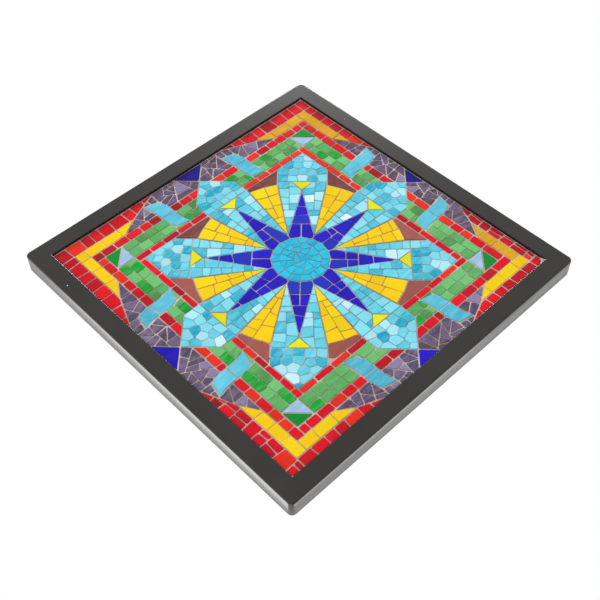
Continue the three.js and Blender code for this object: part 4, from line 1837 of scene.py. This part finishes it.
@dataclass
class Studio:
    """Camera, lights, world and floor round the panel.

    Attributes:
        place: the camera's place in millimetres, in the row frame.
        right: the way to the right of the picture.
        up: the way up in the picture.
        sensor: the width of the sensor.
        lens: the focal length for that sensor.
        shift: how far the picture is shifted sideways, as a share of its width.
        lamps: for each soft light its name, its place and its side in metres, and its power in watts.
        floor_level: the level of the floor in metres.
        floor_half: half the floor's width in metres.
    """

    place: Place = (483.35, -772.67, -461.33)
    right: Place = (0.69106, 0.01269, 0.72269)
    up: Place = (-0.55507, -0.63109, 0.54186)
    sensor: float = 36.0
    lens: float = 58.507
    shift: float = 0.019
    lamps: tuple[tuple[str, Place, float, float], ...] = (
        ("key light", (-2.4, -0.9, 2.4), 0.9, 165.0),
        ("side light", (1.5, 1.2, 0.4), 1.6, 26.0),
        ("low light", (-0.6, 1.2, -1.0), 1.0, 10.0))
    floor_level: float = -1.2
    floor_half: float = 4.0

    def build(self) -> None:
        """Sets up everything round the panel."""
        self._camera()
        self._world()
        for lamp in self.lamps:
            self._lamp(*lamp)
        self._floor()

    def _camera(self) -> None:
        """Puts the camera where the photograph was taken from."""
        data = bpy.data.cameras.new("camera")
        data.sensor_width = self.sensor
        data.lens = self.lens
        data.shift_x = self.shift
        camera = bpy.data.objects.new("camera", data)
        bpy.context.scene.collection.objects.link(camera)
        right = Vector(self.right).normalized()
        up = Vector(self.up)
        up = (up - up.dot(right) * right).normalized()
        turn = Matrix((right, up, right.cross(up))).transposed().to_4x4()
        camera.matrix_world = Matrix.Translation(Vector(self.place) * MM) @ turn
        bpy.context.scene.camera = camera

    def _world(self) -> None:
        """Lights the scene evenly with plain white."""
        world = bpy.data.worlds.new("studio white")
        world.use_nodes = True
        world.node_tree.nodes.clear()
        sky = add_node(world.node_tree, "ShaderNodeBackground", inputs={
            "Color": (1.0, 1.0, 1.0, 1.0), "Strength": 1.0})
        add_node(world.node_tree, "ShaderNodeOutputWorld", inputs={"Surface": sky})
        bpy.context.scene.world = world
        bpy.context.scene.view_settings.view_transform = "Standard"

    def _lamp(self, name: str, place: Place, size: float, power: float) -> None:
        """Adds a soft square light that faces the panel.

        Args:
            name: its name.
            place: where it hangs, in metres.
            size: its side in metres.
            power: its power in watts.
        """
        data = bpy.data.lights.new(name, "AREA")
        data.shape = "SQUARE"
        data.size = size
        data.energy = power
        lamp = bpy.data.objects.new(name, data)
        lamp.location = place
        lamp.rotation_euler = (-Vector(place)).to_track_quat("-Z", "Y").to_euler()
        lamp.visible_camera = False
        bpy.context.scene.collection.objects.link(lamp)

    def _floor(self) -> None:
        """Lays a plain pale floor well below the panel."""
        points = [(x * self.floor_half, y * self.floor_half, self.floor_level)
                  for x, y in ((-1, -1), (1, -1), (1, 1), (-1, 1))]
        new_piece("floor", points, [(0, 1, 2, 3)], FloorFinish().material())


def corner_bands(overlap: float = 2.0) -> list[CornerAngle]:
    """Describes the four bands that turn round the corners, from the frame inwards.

    Args:
        overlap: how far the border is drawn beyond the opening before it is trimmed.

    Returns:
        The bands.
    """
    border_start, border_end = circle_at(BORDER_INNER), circle_at(OPENING_HALF)
    fall = (border_start - border_end) / (OPENING_HALF - BORDER_INNER)
    upper_left = arms_at(Corner.UPPER_LEFT)
    top_right_half = Arm(Side.TOP.value, -1)
    return [
        CornerAngle("border", OPENING_HALF + overlap, BORDER_INNER,
                    (border_start, border_end - overlap * fall),
                    RED, Courses(11.0, 18.0, 0.1),
                    split={top_right_half: 0.5, Arm(Side.BOTTOM.value, 1): 0.65}),
        # The yellow band on the top side and the upper half of the left side takes the darker amber tones
        # as painted shade.
        CornerAngle("yellow", BORDER_INNER, YELLOW_INNER, (circle_at(YELLOW_INNER), border_start),
                    YELLOW, Courses(17.0, 25.0, 0.1), usual=PLAIN_YELLOW,
                    sheets=dict.fromkeys([*upper_left, top_right_half], PAINTED_SHADE_YELLOW)),
        CornerAngle("outer_red", YELLOW_INNER, OUTER_RED_INNER, None, RED, Courses(12.0, 18.0, 0.1)),
        CornerAngle("inner_red", GREEN_INNER, STAR_HALF, (PETAL_HALF, PETAL_HALF),
                    RED, Courses(14.0, 23.0, 0.1), sheets=dict.fromkeys(upper_left, ORANGE_RED)),
    ]


def main() -> None:
    """Builds the panel and the studio round it."""
    logging.basicConfig(level=logging.INFO, format="%(message)s")
    Frame().build()
    GroutBed().build()
    for band in corner_bands():
        for corner in Corner:
            band.build(corner)
    arms = [Arm(side, half) for side in range(4) for half in (-1, 1)]
    for number, arm in enumerate(arms, start=1):
        GreenArm().build(arm, number, MID_GREEN if arm.side == Side.RIGHT.value else ALL_SHEETS)
        Ribbon().build(arm, number)
    places = ("east", "north_east", "north", "north_west", "west", "south_west", "south", "south_east")
    for number, place in enumerate(places):
        Petal().build(number, place)
        Wedge().build(number + 1)
    Star().build()
    Disc().build()
    for side in Side:
        SideField().build(side)
    SmallTiles().build()
    Crumbs().build()
    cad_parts["backing_board"].material_slots[0].material = FibreboardFinish().material()
    Studio().build()


if __name__ == "__main__":
    main()
